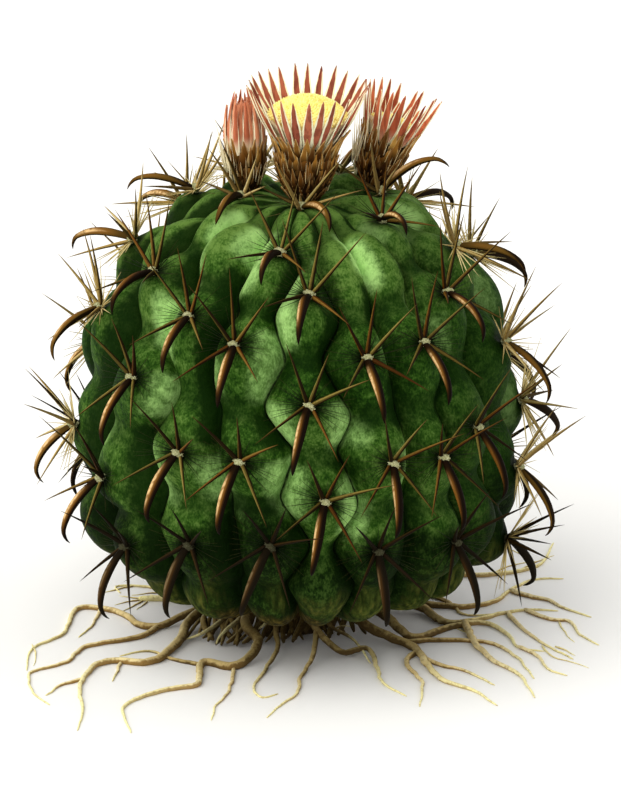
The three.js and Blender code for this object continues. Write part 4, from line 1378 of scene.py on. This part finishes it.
def tepal_finish(look):
    finish = Finish(look["finish"], 0.65, 0.05)
    finish.shader.inputs["Subsurface Weight"].default_value = 0.3
    finish.shader.inputs["Subsurface Radius"].default_value = (1, 1, 1)
    finish.shader.inputs["Subsurface Scale"].default_value = MM
    along, stripe, tone = finish.stored("along"), finish.stored("stripe"), finish.stored("tone")
    vein = finish.noise(420, detail=3, stretch=(1, 1, 0.2))
    edge = finish.plus(stripe, finish.span(vein, 0.25, 0.75, -0.16, 0.16))
    vein_red = tuple(0.5 * part for part in look["dark"])
    red = finish.mix(tone, look["dark"], look["light"])
    red = finish.mix(finish.span(vein, 0.45, 0.65, 0.0, 0.5), red, vein_red)
    pale = finish.mix(finish.span(vein, 0.35, 0.75, 0.0, 0.15), look["cream"], STRAW_VEIN)
    pale = finish.mix(finish.span(along, 0.65, 1.0, 0.0, 0.3), pale, ORANGE_TIP)
    red = finish.mix(finish.span(along, 0.06, 0.40, look["foot_glow"], 0.0), red, pale)
    finish.color(finish.mix(finish.span(edge, -0.10, 0.10), pale, red))
    finish.bump(vein, 0.2)
    return finish


for name, look in TEPAL_PAINTS.items():
    finish_piece(flower_tepals(name), name + "_petals", tepal_finish(look), "tepals", name + "_tepals")

# %% [markdown]
# ## Stamens
# A dome of close-packed anthers fills the open flower. A smooth dome would look like wax, so a solid core
# is covered with small grains, set out as a sunflower sets its seeds: each a golden angle further round and
# a little further out.

# %% Model the stamens
STAMENS = {
    "flower_centre": {"edge": 18.4, "rim": 39.4, "top": 49.0, "grains": 760},
    "flower_right": {"edge": 10.2, "rim": 30.6, "top": 33.6, "grains": 200},
}
GOLDEN_ANGLE = math.pi * (3 - math.sqrt(5))
ANTHER = {"wide": 0.52, "tall": 0.75, "sunk": 0.3, "lean": 0.9, "uneven": 0.25, "spread": 0.985}
DOME = {"roundness": 0.7, "sides": 36, "rings": 12, "below": 0.35, "foot": 3, "foot_radius": 0.8}


def dome_height(dome, radius):
    share = 1 - (radius / dome["edge"]) ** 2
    return dome["rim"] + (dome["top"] - dome["rim"]) * share ** DOME["roundness"]


def model_anther():
    deselect()
    bpy.ops.mesh.primitive_ico_sphere_add(subdivisions=1, radius=1)
    anther = bpy.context.object
    set_corners(anther.data, corners_of(anther.data) * (ANTHER["wide"], ANTHER["wide"], ANTHER["tall"]))
    return anther


def anther_places(name, dome):
    places = []
    for i in range(dome["grains"]):
        radius = dome["edge"] * ANTHER["spread"] * math.sqrt((i + 0.5) / dome["grains"])
        cos, sin = math.cos(i * GOLDEN_ANGLE), math.sin(i * GOLDEN_ANGLE)
        at = Vector((radius * cos, radius * sin, dome_height(dome, radius) - ANTHER["sunk"]))
        lean = Matrix.Rotation(ANTHER["lean"] * radius / dome["edge"], 4, Vector((-sin, cos, 0)))
        size = Matrix.Scale(1 + ANTHER["uneven"] * draw(i, 41), 4)
        places.append((FLOWERS[name]["frame"] @ Matrix.Translation(at) @ lean @ size, chance(i, 42)))
    return places


def dome_core(name, dome):
    def shape(along, angle):
        if along > 0:
            radius = dome["edge"] * math.sqrt(max(0.0, 1 - along))
            height = dome_height(dome, radius) - DOME["below"]
        else:
            radius, height = dome["edge"] * DOME["foot_radius"], dome["rim"] - DOME["foot"]
        return (radius * math.cos(angle), radius * math.sin(angle), height)

    core = ringed_rod(DOME["sides"], DOME["rings"], shape)
    piece = planted(core, [(FLOWERS[name]["frame"], 0.6)])
    discard(core)
    return piece


def flower_stamens(name, dome):
    anther = model_anther()
    grains = planted(anther, anther_places(name, dome))
    discard(anther)
    return joined([grains, dome_core(name, dome)])


print("grains on the domes:", sum(dome["grains"] for dome in STAMENS.values()))

# %% Paint the stamens
YELLOWS = [(0.0, (0.92, 0.70, 0.16)), (0.2, (1.0, 0.86, 0.26)), (1.0, (1.0, 0.93, 0.40))]
OCHRE = (0.60, 0.36, 0.05)


def stamen_finish():
    finish = Finish("anther_yellow", 0.8, 0.1)
    dash = finish.noise(330, detail=2, stretch=(0.45, 1, 1))
    dashes = finish.span(dash, 0.60, 0.70, 0.0, 0.45)
    finish.color(finish.mix(dashes, finish.ramp(finish.stored("tone"), YELLOWS), OCHRE))
    finish.bump(dash, 0.1)
    return finish


anther_yellow = stamen_finish()
for name, dome in STAMENS.items():
    finish_piece(flower_stamens(name, dome), name + "_anthers", anther_yellow, "stamens", name + "_stamens")

# %% [markdown]
# ## Scaly tubes
# Below the tepals each flower is a bowl-shaped tube hidden by narrow scales, some brown, some straw, with
# papery cream edges, and the foot of each is painted near black, as the shade under the row below. They
# overlap like roof tiles, so they are planted row by row from the foot up, every row half a step round from
# the one before. A core painted near black, the tube coloured as the shade between the scales, closes what
# shows between them, and pale hairs rise from the gaps, longest on the left of the half-open flower and of
# the bud.

# %% Model the tubes
SCALE = {"columns": 6, "rows": 8, "thickness": 0.35, "stand": 0.7, "slim": 0.95, "clear": 1.0, "reach": 0.8}
SCALE_BLADE = {"foot": 0.6, "broadest": 0.3, "point": 1.4, "belly": 0.5, "curl": 1.6}
SCALE_ROW = {"first": 0.04, "small": 0.84, "growing": 0.12, "sunk": 0.6}
SCALE_JITTER = {"turn": 0.2, "size": 0.16, "tilt": 0.03, "twist": 0.16}
SCALE_TONE = {"foot": 0.14, "rising": 0.44, "power": 1.3, "chance": 0.34}
TUBE_CORE = {"sides": 28, "rings": 10, "below": 4, "above": 0.2, "inside": 0.5}


def scale_shape(length, width):
    def shape(across, along):
        swell = math.sin(min(1, along / SCALE_BLADE["broadest"]) * math.pi / 2)
        half = width * (SCALE_BLADE["foot"] + (1 - SCALE_BLADE["foot"]) * swell)
        half *= 1 - along ** SCALE_BLADE["point"]
        belly = SCALE_BLADE["belly"] * (1 - across * across) + SCALE["stand"] * along ** SCALE_BLADE["curl"]
        return (half * across, -belly, length * along)

    return shape


def scale_places(name, flower):
    """Rows of scales on the tube; the upper ones lean out over the feet of the tepals."""
    places, scales = [], flower["scales"]
    petals = [(radius + SCALE["clear"], height) for radius, height in TEPAL_ROWS[name][0]["profile"]]
    outline, seed = flower["tube"][:-1] + petals, scales["seed"]
    for row in range(scales["rows"]):
        share = row / (scales["rows"] - 1)
        height = scales["last"] * (share * (1 + SCALE_ROW["first"]) - SCALE_ROW["first"])
        reach = SCALE["reach"] * scales["length"]
        radius, above = radius_at(outline, height), radius_at(outline, height + reach)
        tilt = math.atan2(above - radius, reach)
        row_tone = SCALE_TONE["foot"] + SCALE_TONE["rising"] * share ** SCALE_TONE["power"]
        for i in range(scales["around"]):
            step = i + 0.5 * (row % 2) + SCALE_JITTER["turn"] * draw(seed, row, i)
            size = SCALE_ROW["small"] + SCALE_ROW["growing"] * share
            size *= 1 + SCALE_JITTER["size"] * draw(seed, row, i, 2)
            at = Matrix.Translation((0, SCALE_ROW["sunk"] - radius, height))
            place = Matrix.Rotation(math.tau * step / scales["around"], 4, "Z") @ at
            lean = Matrix.Rotation(tilt + SCALE_JITTER["tilt"] * (1 + draw(seed, row, i, 3)), 4, "X")
            twist = Matrix.Rotation(SCALE_JITTER["twist"] * draw(seed, row, i, 5), 4, "Y")
            tone = row_tone + SCALE_TONE["chance"] * draw(seed, row, i, 4)
            places.append((flower["frame"] @ place @ lean @ twist @ Matrix.Scale(size, 4), tone))
    return places


def tube_core(flower):
    tube = flower["tube"]

    def shape(along, angle):
        height = along * (tube[-1][1] + TUBE_CORE["below"] + TUBE_CORE["above"]) - TUBE_CORE["below"]
        radius = radius_at(tube, height) - TUBE_CORE["inside"]
        return (radius * math.cos(angle), radius * math.sin(angle), height)

    core = ringed_rod(TUBE_CORE["sides"], TUBE_CORE["rings"], shape)
    # Tone 0 paints the core near black: the tube itself, coloured as the shade between the scales
    piece = planted(core, [(flower["frame"], 0.0)])
    discard(core)
    store(piece.data, "across", np.zeros(len(piece.data.vertices)))
    store(piece.data, "along", np.zeros(len(piece.data.vertices)))
    return piece


def flower_tube(name, flower):
    scales = flower["scales"]
    width = math.pi * max(radius for radius, _ in flower["tube"]) / scales["around"] * SCALE["slim"]
    shape = scale_shape(scales["length"], width)
    pattern = blade(SCALE["columns"], SCALE["rows"], SCALE["thickness"], shape)
    scaly = planted(pattern, scale_places(name, flower))
    discard(pattern)
    return joined([scaly, tube_core(flower)])


print("scales on the tubes:", sum(f["scales"]["rows"] * f["scales"]["around"] for f in FLOWERS.values()))

# %% Paint the tubes
SCALE_BROWNS = [
    (0.0, (0.010, 0.003, 0.001)), (0.2, (0.060, 0.020, 0.003)), (0.5, (0.21, 0.080, 0.011)),
    (0.75, (0.40, 0.19, 0.032)), (1.0, (0.64, 0.37, 0.090)),
]
# foot is the near black of painted shade; the rest are the scales' own colours
SCALE_PAINT = {
    "point": (0.34, 0.17, 0.05), "low_edge": (0.18, 0.095, 0.022), "high_edge": (0.86, 0.62, 0.28),
    "vein": (0.24, 0.115, 0.022), "foot": (0.016, 0.006, 0.001),
}


def scale_finish():
    finish = Finish("scale_brown", 0.8, 0.05)
    along, across, tone = finish.stored("along"), finish.stored("across"), finish.stored("tone")
    vein = finish.noise(500, detail=3, stretch=(1, 1, 0.3))
    brown = finish.ramp(tone, SCALE_BROWNS)
    brown = finish.mix(finish.span(along, 0.5, 1.0, 0.0, 0.5), brown, SCALE_PAINT["point"])
    edge = finish.plus(finish.math("ABSOLUTE", across), finish.span(vein, 0.2, 0.8, -0.2, 0.2))
    cream = finish.mix(finish.span(tone, 0.10, 0.45), SCALE_PAINT["low_edge"], SCALE_PAINT["high_edge"])
    color = finish.mix(finish.span(edge, 0.62, 0.98, 0.0, 0.85), brown, cream)
    color = finish.mix(finish.span(vein, 0.5, 0.75, 0.0, 0.4), color, SCALE_PAINT["vein"])
    # Painted shade on the foot of each scale, where it lies under the tips of the row below
    finish.color(finish.mix(finish.span(along, 0.55, 0.1, 0.0, 0.8), color, SCALE_PAINT["foot"]))
    finish.bump(vein, 0.3)
    return finish


scale_brown = scale_finish()
for name, flower in FLOWERS.items():
    finish_piece(flower_tube(name, flower), name + "_scales", scale_brown, "flower_scales", name + "_tube")

# %% Plant the hairs of the tubes
TUBE_HAIR = {
    "count": 30, "length": (7, 12), "tilt": (8, 22), "height": 0.08, "over": 0.8, "width": 0.9, "rise": 1,
}
SHAG = {
    "count": 36, "length": (13, 20), "tilt": (1, 19), "turn": -80, "spread": 42, "height": 0.45, "over": 0.4,
    "width": 1.8,
}
SHAGGY = {"flower_right": 0.6, "flower_left": 0.6}
HAIR_TONES = [(0.0, (0.40, 0.26, 0.09)), (0.5, (0.78, 0.60, 0.28)), (1.0, (1.0, 0.88, 0.58))]
HAIR_TIP = (1.0, 0.93, 0.72)


def hair_place(flower, turn, height, tilt, length, width, tone):
    radius = radius_at(flower["tube"], height) + TUBE_HAIR["rise"]
    out = Vector((math.sin(turn), -math.cos(turn), 0))
    direction = out * math.sin(tilt) + Vector((0, 0, math.cos(tilt)))
    aside = out.cross(direction).normalized()
    start = out * radius + Vector((0, 0, height))
    return flower["frame"] @ standing(start, direction, aside, width, length), tone


def hair_places(name, flower):
    """Hairs all round the tube, and a shag on its left where the flower has one."""
    places, top, seed = [], flower["tube"][-1][1], flower["scales"]["seed"]
    for i in range(TUBE_HAIR["count"]):
        height = top * (TUBE_HAIR["height"] + TUBE_HAIR["over"] * chance(seed, i, 11))
        tilt = math.radians(between(TUBE_HAIR["tilt"], chance(seed, i, 12)))
        length = between(TUBE_HAIR["length"], chance(seed, i, 13))
        tone = chance(seed, i, 14)
        places.append(hair_place(flower, i * GOLDEN_ANGLE, height, tilt, length, TUBE_HAIR["width"], tone))
    for i in range(round(SHAG["count"] * SHAGGY.get(name, 0))):
        turn = math.radians(SHAG["turn"] + SHAG["spread"] * draw(seed, i, 21))
        height = top * (SHAG["height"] + SHAG["over"] * draw(seed, i, 22))
        length = between(SHAG["length"], chance(seed, i, 23))
        tilt = math.radians(between(SHAG["tilt"], chance(seed, i, 24)))
        places.append(hair_place(flower, turn, height, tilt, length, SHAG["width"], 1.0))
    return places


def flower_hairs(name, flower):
    pattern = ringed_rod(BRISTLE["sides"], BRISTLE["rings"], bristle_shape)
    hairs = planted(pattern, hair_places(name, flower))
    discard(pattern)
    return hairs


hair_finish = bristle_finish("tube_hair", HAIR_TONES, HAIR_TIP)
for name, flower in FLOWERS.items():
    finish_piece(flower_hairs(name, flower), name + "_hairs", hair_finish, "flower_scales", name + "_tube")

# %% [markdown]
# ## Roots
# The roots spread over the floor from a corky crown under the stem. A ringed rod is laid along each route,
# which is given by a few points on the floor and smoothed. Noise makes the path wander and the skin
# knobbly, and the rod tapers to a thread. The plant stands on the roots, so their routes are those of the
# model. Each root is its thickness, its route and its branches, and those behind the plant repeat four of
# the front ones, turned round.

# %% The routes of the roots
ROOT_CROWN = [(14, 0), (17, 8), (25, 17), (37, 24)]
ROOTS = [
    (2.2, [(-20, 2), (-50, 1), (-68, -8), (-84, 14), (-100, 18), (-107, -14), (-121, -34), (-123, -60)], [
        (1.4, [(-64, -5), (-72, -19), (-98, -33), (-105, -51), (-121, -64), (-119, -90), (-112, -104)]),
        (0.9, [(-90, 16), (-94, -3), (-100, -18)]),
    ]),
    (2.9, [(-16, -4), (-46, -5), (-55, -30), (-68, -53), (-87, -51), (-98, -76), (-97, -112),
           (-99, -136)], [
        (1.0, [(-97, -72), (-107, -80), (-114, -92)]),
        (0.9, [(-80, -53), (-84, -74)]),
    ]),
    (2.9, [(-12, -8), (-24, -26), (-18, -42), (-30, -59), (-43, -53), (-46, -80), (-62, -88), (-78, -106),
           (-75, -139)], [
        (1.1, [(-43, -54), (-56, -48), (-68, -36), (-81, -42)]),
        (1.0, [(-29, -58), (-31, -86), (-37, -106), (-39, -123)]),
    ]),
    (1.7, [(-1, -10), (-10, -32), (-9, -43), (-15, -62), (-20, -84), (-16, -95), (-9, -90)], []),
    (2.2, [(3, -10), (8, -33), (21, -47), (32, -41), (36, -60), (39, -78), (49, -93)], [
        (1.4, [(8, -34), (7, -50), (2, -66), (-1, -92), (-8, -105), (-14, -120)]),
    ]),
    (1.4, [(8, -9), (14, -28), (27, -38), (33, -52)], []),
    (2.9, [(12, -10), (34, -27), (51, -33), (59, -56), (66, -75), (79, -86), (90, -105)], [
        (1.4, [(54, -38), (49, -50), (56, -76), (55, -106)]),
        (1.2, [(56, -46), (66, -56), (74, -60), (89, -79)]),
        (1.4, [(47, -31), (60, -24), (88, -27), (100, -46), (107, -71)]),
    ]),
    (2.9, [(16, -3), (40, -12), (52, -25), (68, -9), (84, -1), (95, -14), (101, -32), (112, -36)], [
        (1.0, [(100, -30), (109, -43), (114, -60), (122, -67)]),
    ]),
    (3.1, [(16, 4), (56, 14), (67, -2), (80, 1), (92, 11), (106, 17), (119, 16)], [
        (1.9, [(76, 0), (80, -25), (89, -50), (100, -66), (107, -95)]),
        (1.1, [(95, 12), (101, -4), (112, -27), (125, -46)]),
        (1.1, [(104, 16), (115, 4), (123, 3), (129, -16), (137, -28)]),
    ]),
    (2.4, [(15, 8), (52, 22), (76, 19), (90, 27), (99, 45), (110, 57), (122, 58)], [
        (1.3, [(97, 42), (104, 35), (114, 29), (123, 18), (134, 8)]),
    ]),
    (2.6, [(-14, -5), (-30, -14), (-41, -22), (-52, -24)], []),
    (2.6, [(-10, -7), (-26, -20), (-36, -30), (-37, -34)], []),
    (2.4, [(-7, -9), (-14, -26), (-18, -30)], []),
]
BACK_ROOTS = [(1, 205), (2, 160), (4, 200), (3, 250)]
ROOT = {"tip": 0.35, "taper": 1.05, "step": 2.2, "sides": 10, "wander": 1.0, "knobs": 0.13}
ROOT_SEEDS = {"first": 60, "apart": 7}
ROOT_BENDS = {"broad": 9, "fine": 4, "share": 0.5, "calm": 0.5}
ROOT_KNOBS = {"spot": 2.6, "turn": 2.0, "along": 0.5, "share": 0.6}
ROOT_LIFT = {"height": 12, "from": 18, "until": 66, "axis": 0.93, "floor": 0.02, "end": 0.6}
CURVE_STEPS = 12


def turned_route(route, degrees):
    cos, sin = math.cos(math.radians(degrees)), math.sin(math.radians(degrees))
    return [(x * cos - y * sin, x * sin + y * cos) for x, y in route]


def turned_root(root, degrees):
    thick, route, branches = root
    return thick, turned_route(route, degrees), [(t, turned_route(r, degrees)) for t, r in branches]


def smooth_route(route):
    """The route as an evenly stepped curve that passes through its points without overshooting."""
    points = np.array(route, dtype=float)
    ends = np.vstack([2 * points[0] - points[1], points, 2 * points[-1] - points[-2]])
    curve = []
    for before, start, end, after in zip(ends, ends[1:], ends[2:], ends[3:]):
        gaps = [np.linalg.norm(b - a) ** 0.5 for a, b in ((before, start), (start, end), (end, after))]
        leave = end - start + gaps[1] * ((start - before) / gaps[0] - (end - before) / (gaps[0] + gaps[1]))
        arrive = end - start + gaps[1] * ((after - end) / gaps[2] - (after - start) / (gaps[1] + gaps[2]))
        t = np.linspace(0, 1, CURVE_STEPS, endpoint=False)[:, None]
        bend = leave * t * (1 - t) ** 2 - arrive * t * t * (1 - t)
        curve.append(start + (end - start) * t * t * (3 - 2 * t) + bend)
    curve = np.vstack(curve + [points[-1:]])
    reach = np.concatenate([[0], np.cumsum(np.linalg.norm(np.diff(curve, axis=0), axis=1))])
    even = np.linspace(0, reach[-1], max(4, round(reach[-1] / ROOT["step"])) + 1)
    return np.stack([np.interp(even, reach, curve[:, axis]) for axis in (0, 1)], axis=1)


print(len(ROOTS) + len(BACK_ROOTS), "roots leave the crown")

# %% Lay the rods along the routes
def sideways(path):
    """The direction across the path at each of its points."""
    ahead = np.gradient(path, axis=0)
    return np.stack([-ahead[:, 1], ahead[:, 0]], axis=1) / np.linalg.norm(ahead, axis=1)[:, None]


def wandering(path, seed, amount):
    """The path with small sideways bends that start and end at nothing."""
    sway = []
    for spot in np.arange(len(path)) * ROOT["step"]:
        broad = noise.noise(Vector((spot / ROOT_BENDS["broad"], seed, 0)))
        fine = noise.noise(Vector((spot / ROOT_BENDS["fine"], seed, 5)))
        sway.append(broad + ROOT_BENDS["share"] * fine)
    calm_ends = np.sin(np.linspace(0, 1, len(path)) * math.pi) ** ROOT_BENDS["calm"]
    return path + sideways(path) * (np.array(sway) * amount * calm_ends)[:, None]


def lay_root(path, thick, tip, seed, droop=0):
    """A knobbly rod on the path, tapered, and lifted near the crown. Droop lets its far end sink again."""
    last = len(path) - 1
    lift = ROOT_LIFT["height"] * (1 - smooth(np.hypot(*path.T), ROOT_LIFT["from"], ROOT_LIFT["until"]))
    lift *= 1 - droop * np.linspace(0, 1, last + 1)
    radius = tip + (thick - tip) * (1 - np.linspace(0, 1, last + 1)) ** ROOT["taper"]
    aside = sideways(path)

    def shape(along, angle):
        ring = round(along * last)
        knob = noise.noise(Vector((*path[ring], angle * ROOT_KNOBS["turn"])) / ROOT_KNOBS["spot"])
        knob += ROOT_KNOBS["share"] * noise.noise(Vector((ring * ROOT_KNOBS["along"], angle, seed)))
        size = radius[ring] * (1 + ROOT["knobs"] * knob) * (ROOT_LIFT["end"] if ring in (0, last) else 1)
        x, y = path[ring] + aside[ring] * size * math.cos(angle)
        height = lift[ring] + ROOT_LIFT["axis"] * radius[ring] + size * math.sin(angle)
        return (x, y, max(ROOT_LIFT["floor"], height))

    rod = ringed_rod(ROOT["sides"], last, shape)
    store(rod.data, "tone", [chance(seed, 3)] * len(rod.data.vertices))
    return rod


def root_rods(root, seed):
    thick, route, branches = root
    path = wandering(smooth_route(route), seed, ROOT["wander"])
    rods = [lay_root(path, thick, ROOT["tip"], seed)]
    for index, (branch_thick, branch_route) in enumerate(branches, 1):
        nearest = path[np.argmin(np.linalg.norm(path - branch_route[0], axis=1))]
        branch = wandering(smooth_route([nearest, *branch_route[1:]]), seed + index, ROOT["wander"])
        rods.append(lay_root(branch, branch_thick, ROOT["tip"], seed + index))
    return rods


all_roots = ROOTS + [turned_root(ROOTS[index], degrees) for index, degrees in BACK_ROOTS]
root_pieces = []
for index, root in enumerate(all_roots):
    root_pieces += root_rods(root, ROOT_SEEDS["first"] + ROOT_SEEDS["apart"] * index)
print(len(root_pieces), "rods laid")

# %% [markdown]
# ## Root crown, stubs and rootlets
# Between stem and floor sits the root crown, a lump of cork. In front of it hangs a ragged row of stubs
# where roots were torn off, their ends drooping to the floor, and further left a pale broken root ends in a
# tuft. The rootlets, thin as thread, are placed one by one where the plate draws them and scattered by
# chance behind, where it shows nothing.

# %% Crown and stubs
CROWN_SKIN = {"sides": 72, "rings": 22, "knobs": 1.3, "height": 23.9, "around": 3, "upward": 6, "tone": 0.3}
STUBS = {
    "count": 40, "from": (-46, -7), "to": (26, -5), "bulge": 11, "uneven": 0.4, "heading": -92, "fan": 24,
    "outward": 16, "length": (9, 19), "bend": 0.5, "thick": (0.8, 1.9), "broken": 0.7, "fading": 0.5,
    "droop": 0.75, "wander": 0.8, "seed": 300,
}


def crown_shape(along, angle):
    height = CROWN_SKIN["height"] * along
    around = CROWN_SKIN["around"]
    spot = Vector((math.cos(angle) * around, math.sin(angle) * around, height / CROWN_SKIN["upward"]))
    knob = math.sin(along * math.pi) * (noise.noise(spot) + 0.5 * noise.noise(spot * 3))
    radius = radius_at(ROOT_CROWN, height) + CROWN_SKIN["knobs"] * knob
    return (radius * math.cos(angle), radius * math.sin(angle), height)


def lay_stub(index):
    share = (index + 0.5 + STUBS["uneven"] * draw(index, 71)) / STUBS["count"]
    start = np.array([between((a, b), share) for a, b in zip(STUBS["from"], STUBS["to"])])
    start[1] -= STUBS["bulge"] * math.sin(math.pi * share)
    fan = STUBS["heading"] + STUBS["fan"] * draw(index, 72) - STUBS["outward"] * (1 - share)
    length = between(STUBS["length"], chance(index, 73))
    reach = np.linspace(0, length, max(5, round(length / ROOT["step"])) + 1)
    turns = math.radians(fan) + STUBS["bend"] * draw(index, 74) * reach / length
    path = start + np.stack([reach * np.cos(turns), reach * np.sin(turns)], axis=1)
    thick = between(STUBS["thick"], chance(index, 75))
    seed = STUBS["seed"] + index
    path = wandering(path, seed, STUBS["wander"])
    stub = lay_root(path, thick, thick * STUBS["broken"], seed + 100, STUBS["droop"])
    store(stub.data, "along", read(stub.data, "along") * STUBS["fading"])
    return stub


crown = ringed_rod(CROWN_SKIN["sides"], CROWN_SKIN["rings"], crown_shape)
store(crown.data, "tone", [CROWN_SKIN["tone"]] * len(crown.data.vertices))
store(crown.data, "along", [0] * len(crown.data.vertices))
stubs = [lay_stub(index) for index in range(STUBS["count"])]
roots = joined([crown] + root_pieces + stubs)
roots.data.transform(Matrix.Scale(MM, 4))
print("roots:", len(roots.data.polygons), "faces")

# %% Rootlets
ROOTLETS = {
    "thick": 0.5, "tip": 0.16, "behind": 26, "length": (12, 34), "start": (0.3, 0.95),
    "bend": 0.9, "steps": 12, "wander": 0.8, "seed": 500,
}
PALE_ROOT = {"thick": 2.5, "tip": 1.3, "seed": 700, "route": [(-12, 10), (-38, 24), (-58, 29), (-73, 30)]}
FRONT_ROOTLETS = [
    [(-121, -28), (-119, -40), (-120, -54)],
    [(71, 0), (73, -7), (77, -12)],
    [(119, 2), (123, -17), (126, -24)],
    [(117, -30), (121, -34), (126, -41)],
    [(111, -29), (116, -43), (125, -50), (132, -57)],
    [(16, -31), (20, -27), (24, -26)],
    [(-71, 31), (-77, 34), (-82, 36)],
    [(-72, 30), (-78, 28), (-84, 24)],
    [(-71, 29), (-75, 23), (-81, 15)],
    [(-69, 28), (-71, 24), (-74, 18)],
]


def chance_rootlet(index):
    """Starts somewhere on one of the roots behind and turns off to the side."""
    _, route, _ = all_roots[len(ROOTS) + index % len(BACK_ROOTS)]
    path = smooth_route(route)
    spot = 1 + int((len(path) - 3) * between(ROOTLETS["start"], chance(index, 82)))
    ahead = path[spot + 1] - path[spot - 1]
    side = 1 if index % 2 else -1
    heading = math.atan2(ahead[1], ahead[0]) + side * (0.5 + 0.5 * abs(draw(index, 83)))
    length = between(ROOTLETS["length"], chance(index, 84))
    turns = heading + ROOTLETS["bend"] * draw(index, 85) * np.linspace(0, 1, ROOTLETS["steps"])
    moves = np.stack([np.cos(turns), np.sin(turns)], axis=1) * length / ROOTLETS["steps"]
    return np.vstack([path[spot], path[spot] + np.cumsum(moves, axis=0)])


def inside_model(path):
    """Whether the path stays within the box of the measured roots."""
    low, high = (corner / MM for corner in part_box("root_system"))
    return (path > (low.x, low.y)).all() and (path < (high.x, high.y)).all()


rootlet_paths = [smooth_route(route) for route in FRONT_ROOTLETS]
rootlet_paths += [path for path in map(chance_rootlet, range(ROOTLETS["behind"])) if inside_model(path)]
rootlets = []
for index, path in enumerate(rootlet_paths):
    seed = ROOTLETS["seed"] + index
    path = wandering(path, seed, ROOTLETS["wander"])
    rootlets.append(lay_root(path, ROOTLETS["thick"], ROOTLETS["tip"], seed + 100))
pale_path = smooth_route(PALE_ROOT["route"])
rootlets.append(lay_root(pale_path, PALE_ROOT["thick"], PALE_ROOT["tip"], PALE_ROOT["seed"]))
threads = joined(rootlets)
threads.data.transform(Matrix.Scale(MM, 4))
print(len(rootlets), "rootlets laid")

# %% [markdown]
# ## Bark
# Near the crown the roots are dark brown and rough, further out straw-coloured, and their ends fade to a
# pale yellow. The colour runs on the distance from the stem's axis and along each root. Fine noise gives
# the scaly bark. The side turned to the light is painted cream, and the side turned away darker, as on the
# plate, because light from the white floor would wash that side out.

# %% Paint the roots
ROOT_LIGHT = (-0.45, 0.62, 0.64)
BARKS = [
    (0.0, (0.17, 0.120, 0.034)), (0.22, (0.36, 0.27, 0.100)), (0.45, (0.64, 0.48, 0.200)),
    (0.7, (0.84, 0.68, 0.34)), (1.0, (0.94, 0.82, 0.46)),
]
# The colours of painted shade, on the side turned away from the light
SHADED_BARKS = [(0.0, (0.030, 0.016, 0.003)), (0.45, (0.060, 0.032, 0.006)), (1.0, (0.28, 0.15, 0.030))]
BARK_PAINT = {
    "straw": (0.86, 0.76, 0.34), "end": (0.97, 0.90, 0.44), "lit": (0.98, 0.90, 0.56),
    "cork": (0.24, 0.125, 0.026),
}
# The first two numbers are distances from the stem's axis in metres, between which the bark changes.
FROM_AXIS = {"barks": (0.020, 0.130), "shaded_barks": (0.020, 0.110), "shade": (0.025, 0.080, -0.25, 0.10)}


def bark_finish(name, pale):
    """Bark that is mixed with straw by the share pale."""
    finish = Finish(name, 0.85, 0.15)
    flat = finish.add("ShaderNodeVectorMath", {0: finish.place, 1: (1, 1, 0)}, operation="MULTIPLY")
    reach = finish.add("ShaderNodeVectorMath", {0: flat}, output="Value", operation="LENGTH")
    stain, bark = finish.noise(70, detail=3), finish.noise(520, detail=4, roughness=0.65)
    lit, along = finish.stored("lit"), finish.stored("along")
    reach = finish.plus(reach, finish.span(stain, 0.2, 0.8, -0.014, 0.014))
    color = finish.ramp(finish.span(reach, *FROM_AXIS["barks"]), BARKS)
    color = finish.mix(pale, color, BARK_PAINT["straw"])
    color = finish.mix(finish.span(along, 0.4, 0.9, 0.0, 0.85), color, BARK_PAINT["end"])
    color = finish.mix(finish.span(lit, 0.50, 0.95, 0.0, 0.6), color, BARK_PAINT["lit"])
    color = finish.mix(finish.span(bark, 0.48, 0.68, 0.0, 0.4), color, BARK_PAINT["cork"])
    shade = finish.plus(lit, finish.span(bark, 0.3, 0.7, 0.2, -0.2))
    # The painted shade deepens towards the crown, under the stem, and fades towards the tips
    shade = finish.plus(shade, finish.span(reach, *FROM_AXIS["shade"]))
    shade = finish.times(finish.span(shade, 0.40, -0.35), finish.span(along, 0.5, 1.0, 0.92, 0.35))
    dark = finish.ramp(finish.span(reach, *FROM_AXIS["shaded_barks"]), SHADED_BARKS)
    finish.color(finish.mix(shade, color, dark))
    finish.bump(finish.plus(bark, finish.times(stain, 0.5)), 0.5)
    return finish


for piece in (roots, threads):
    store_lit(piece, ROOT_LIGHT)
finish_piece(roots, "bare_roots", bark_finish("root_bark", 0.0), "root_bark", "root_system")
finish_piece(threads, "rootlets", bark_finish("rootlet_straw", 0.7), "root_bark", "root_system")

# %% [markdown]
# ## The sizes
# The dressed plant must fill the same space as the measured one. Both boxes are printed, lowest corner
# and highest corner.

# %% Sizes
dressed_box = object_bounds()
sizes = {
    "model": [list(corner) for corner in model_box],
    "dressed": [list(corner) for corner in dressed_box],
}
for name, box in sizes.items():
    print(name, "box in mm:", [[round(length / MM, 1) for length in corner] for corner in box])
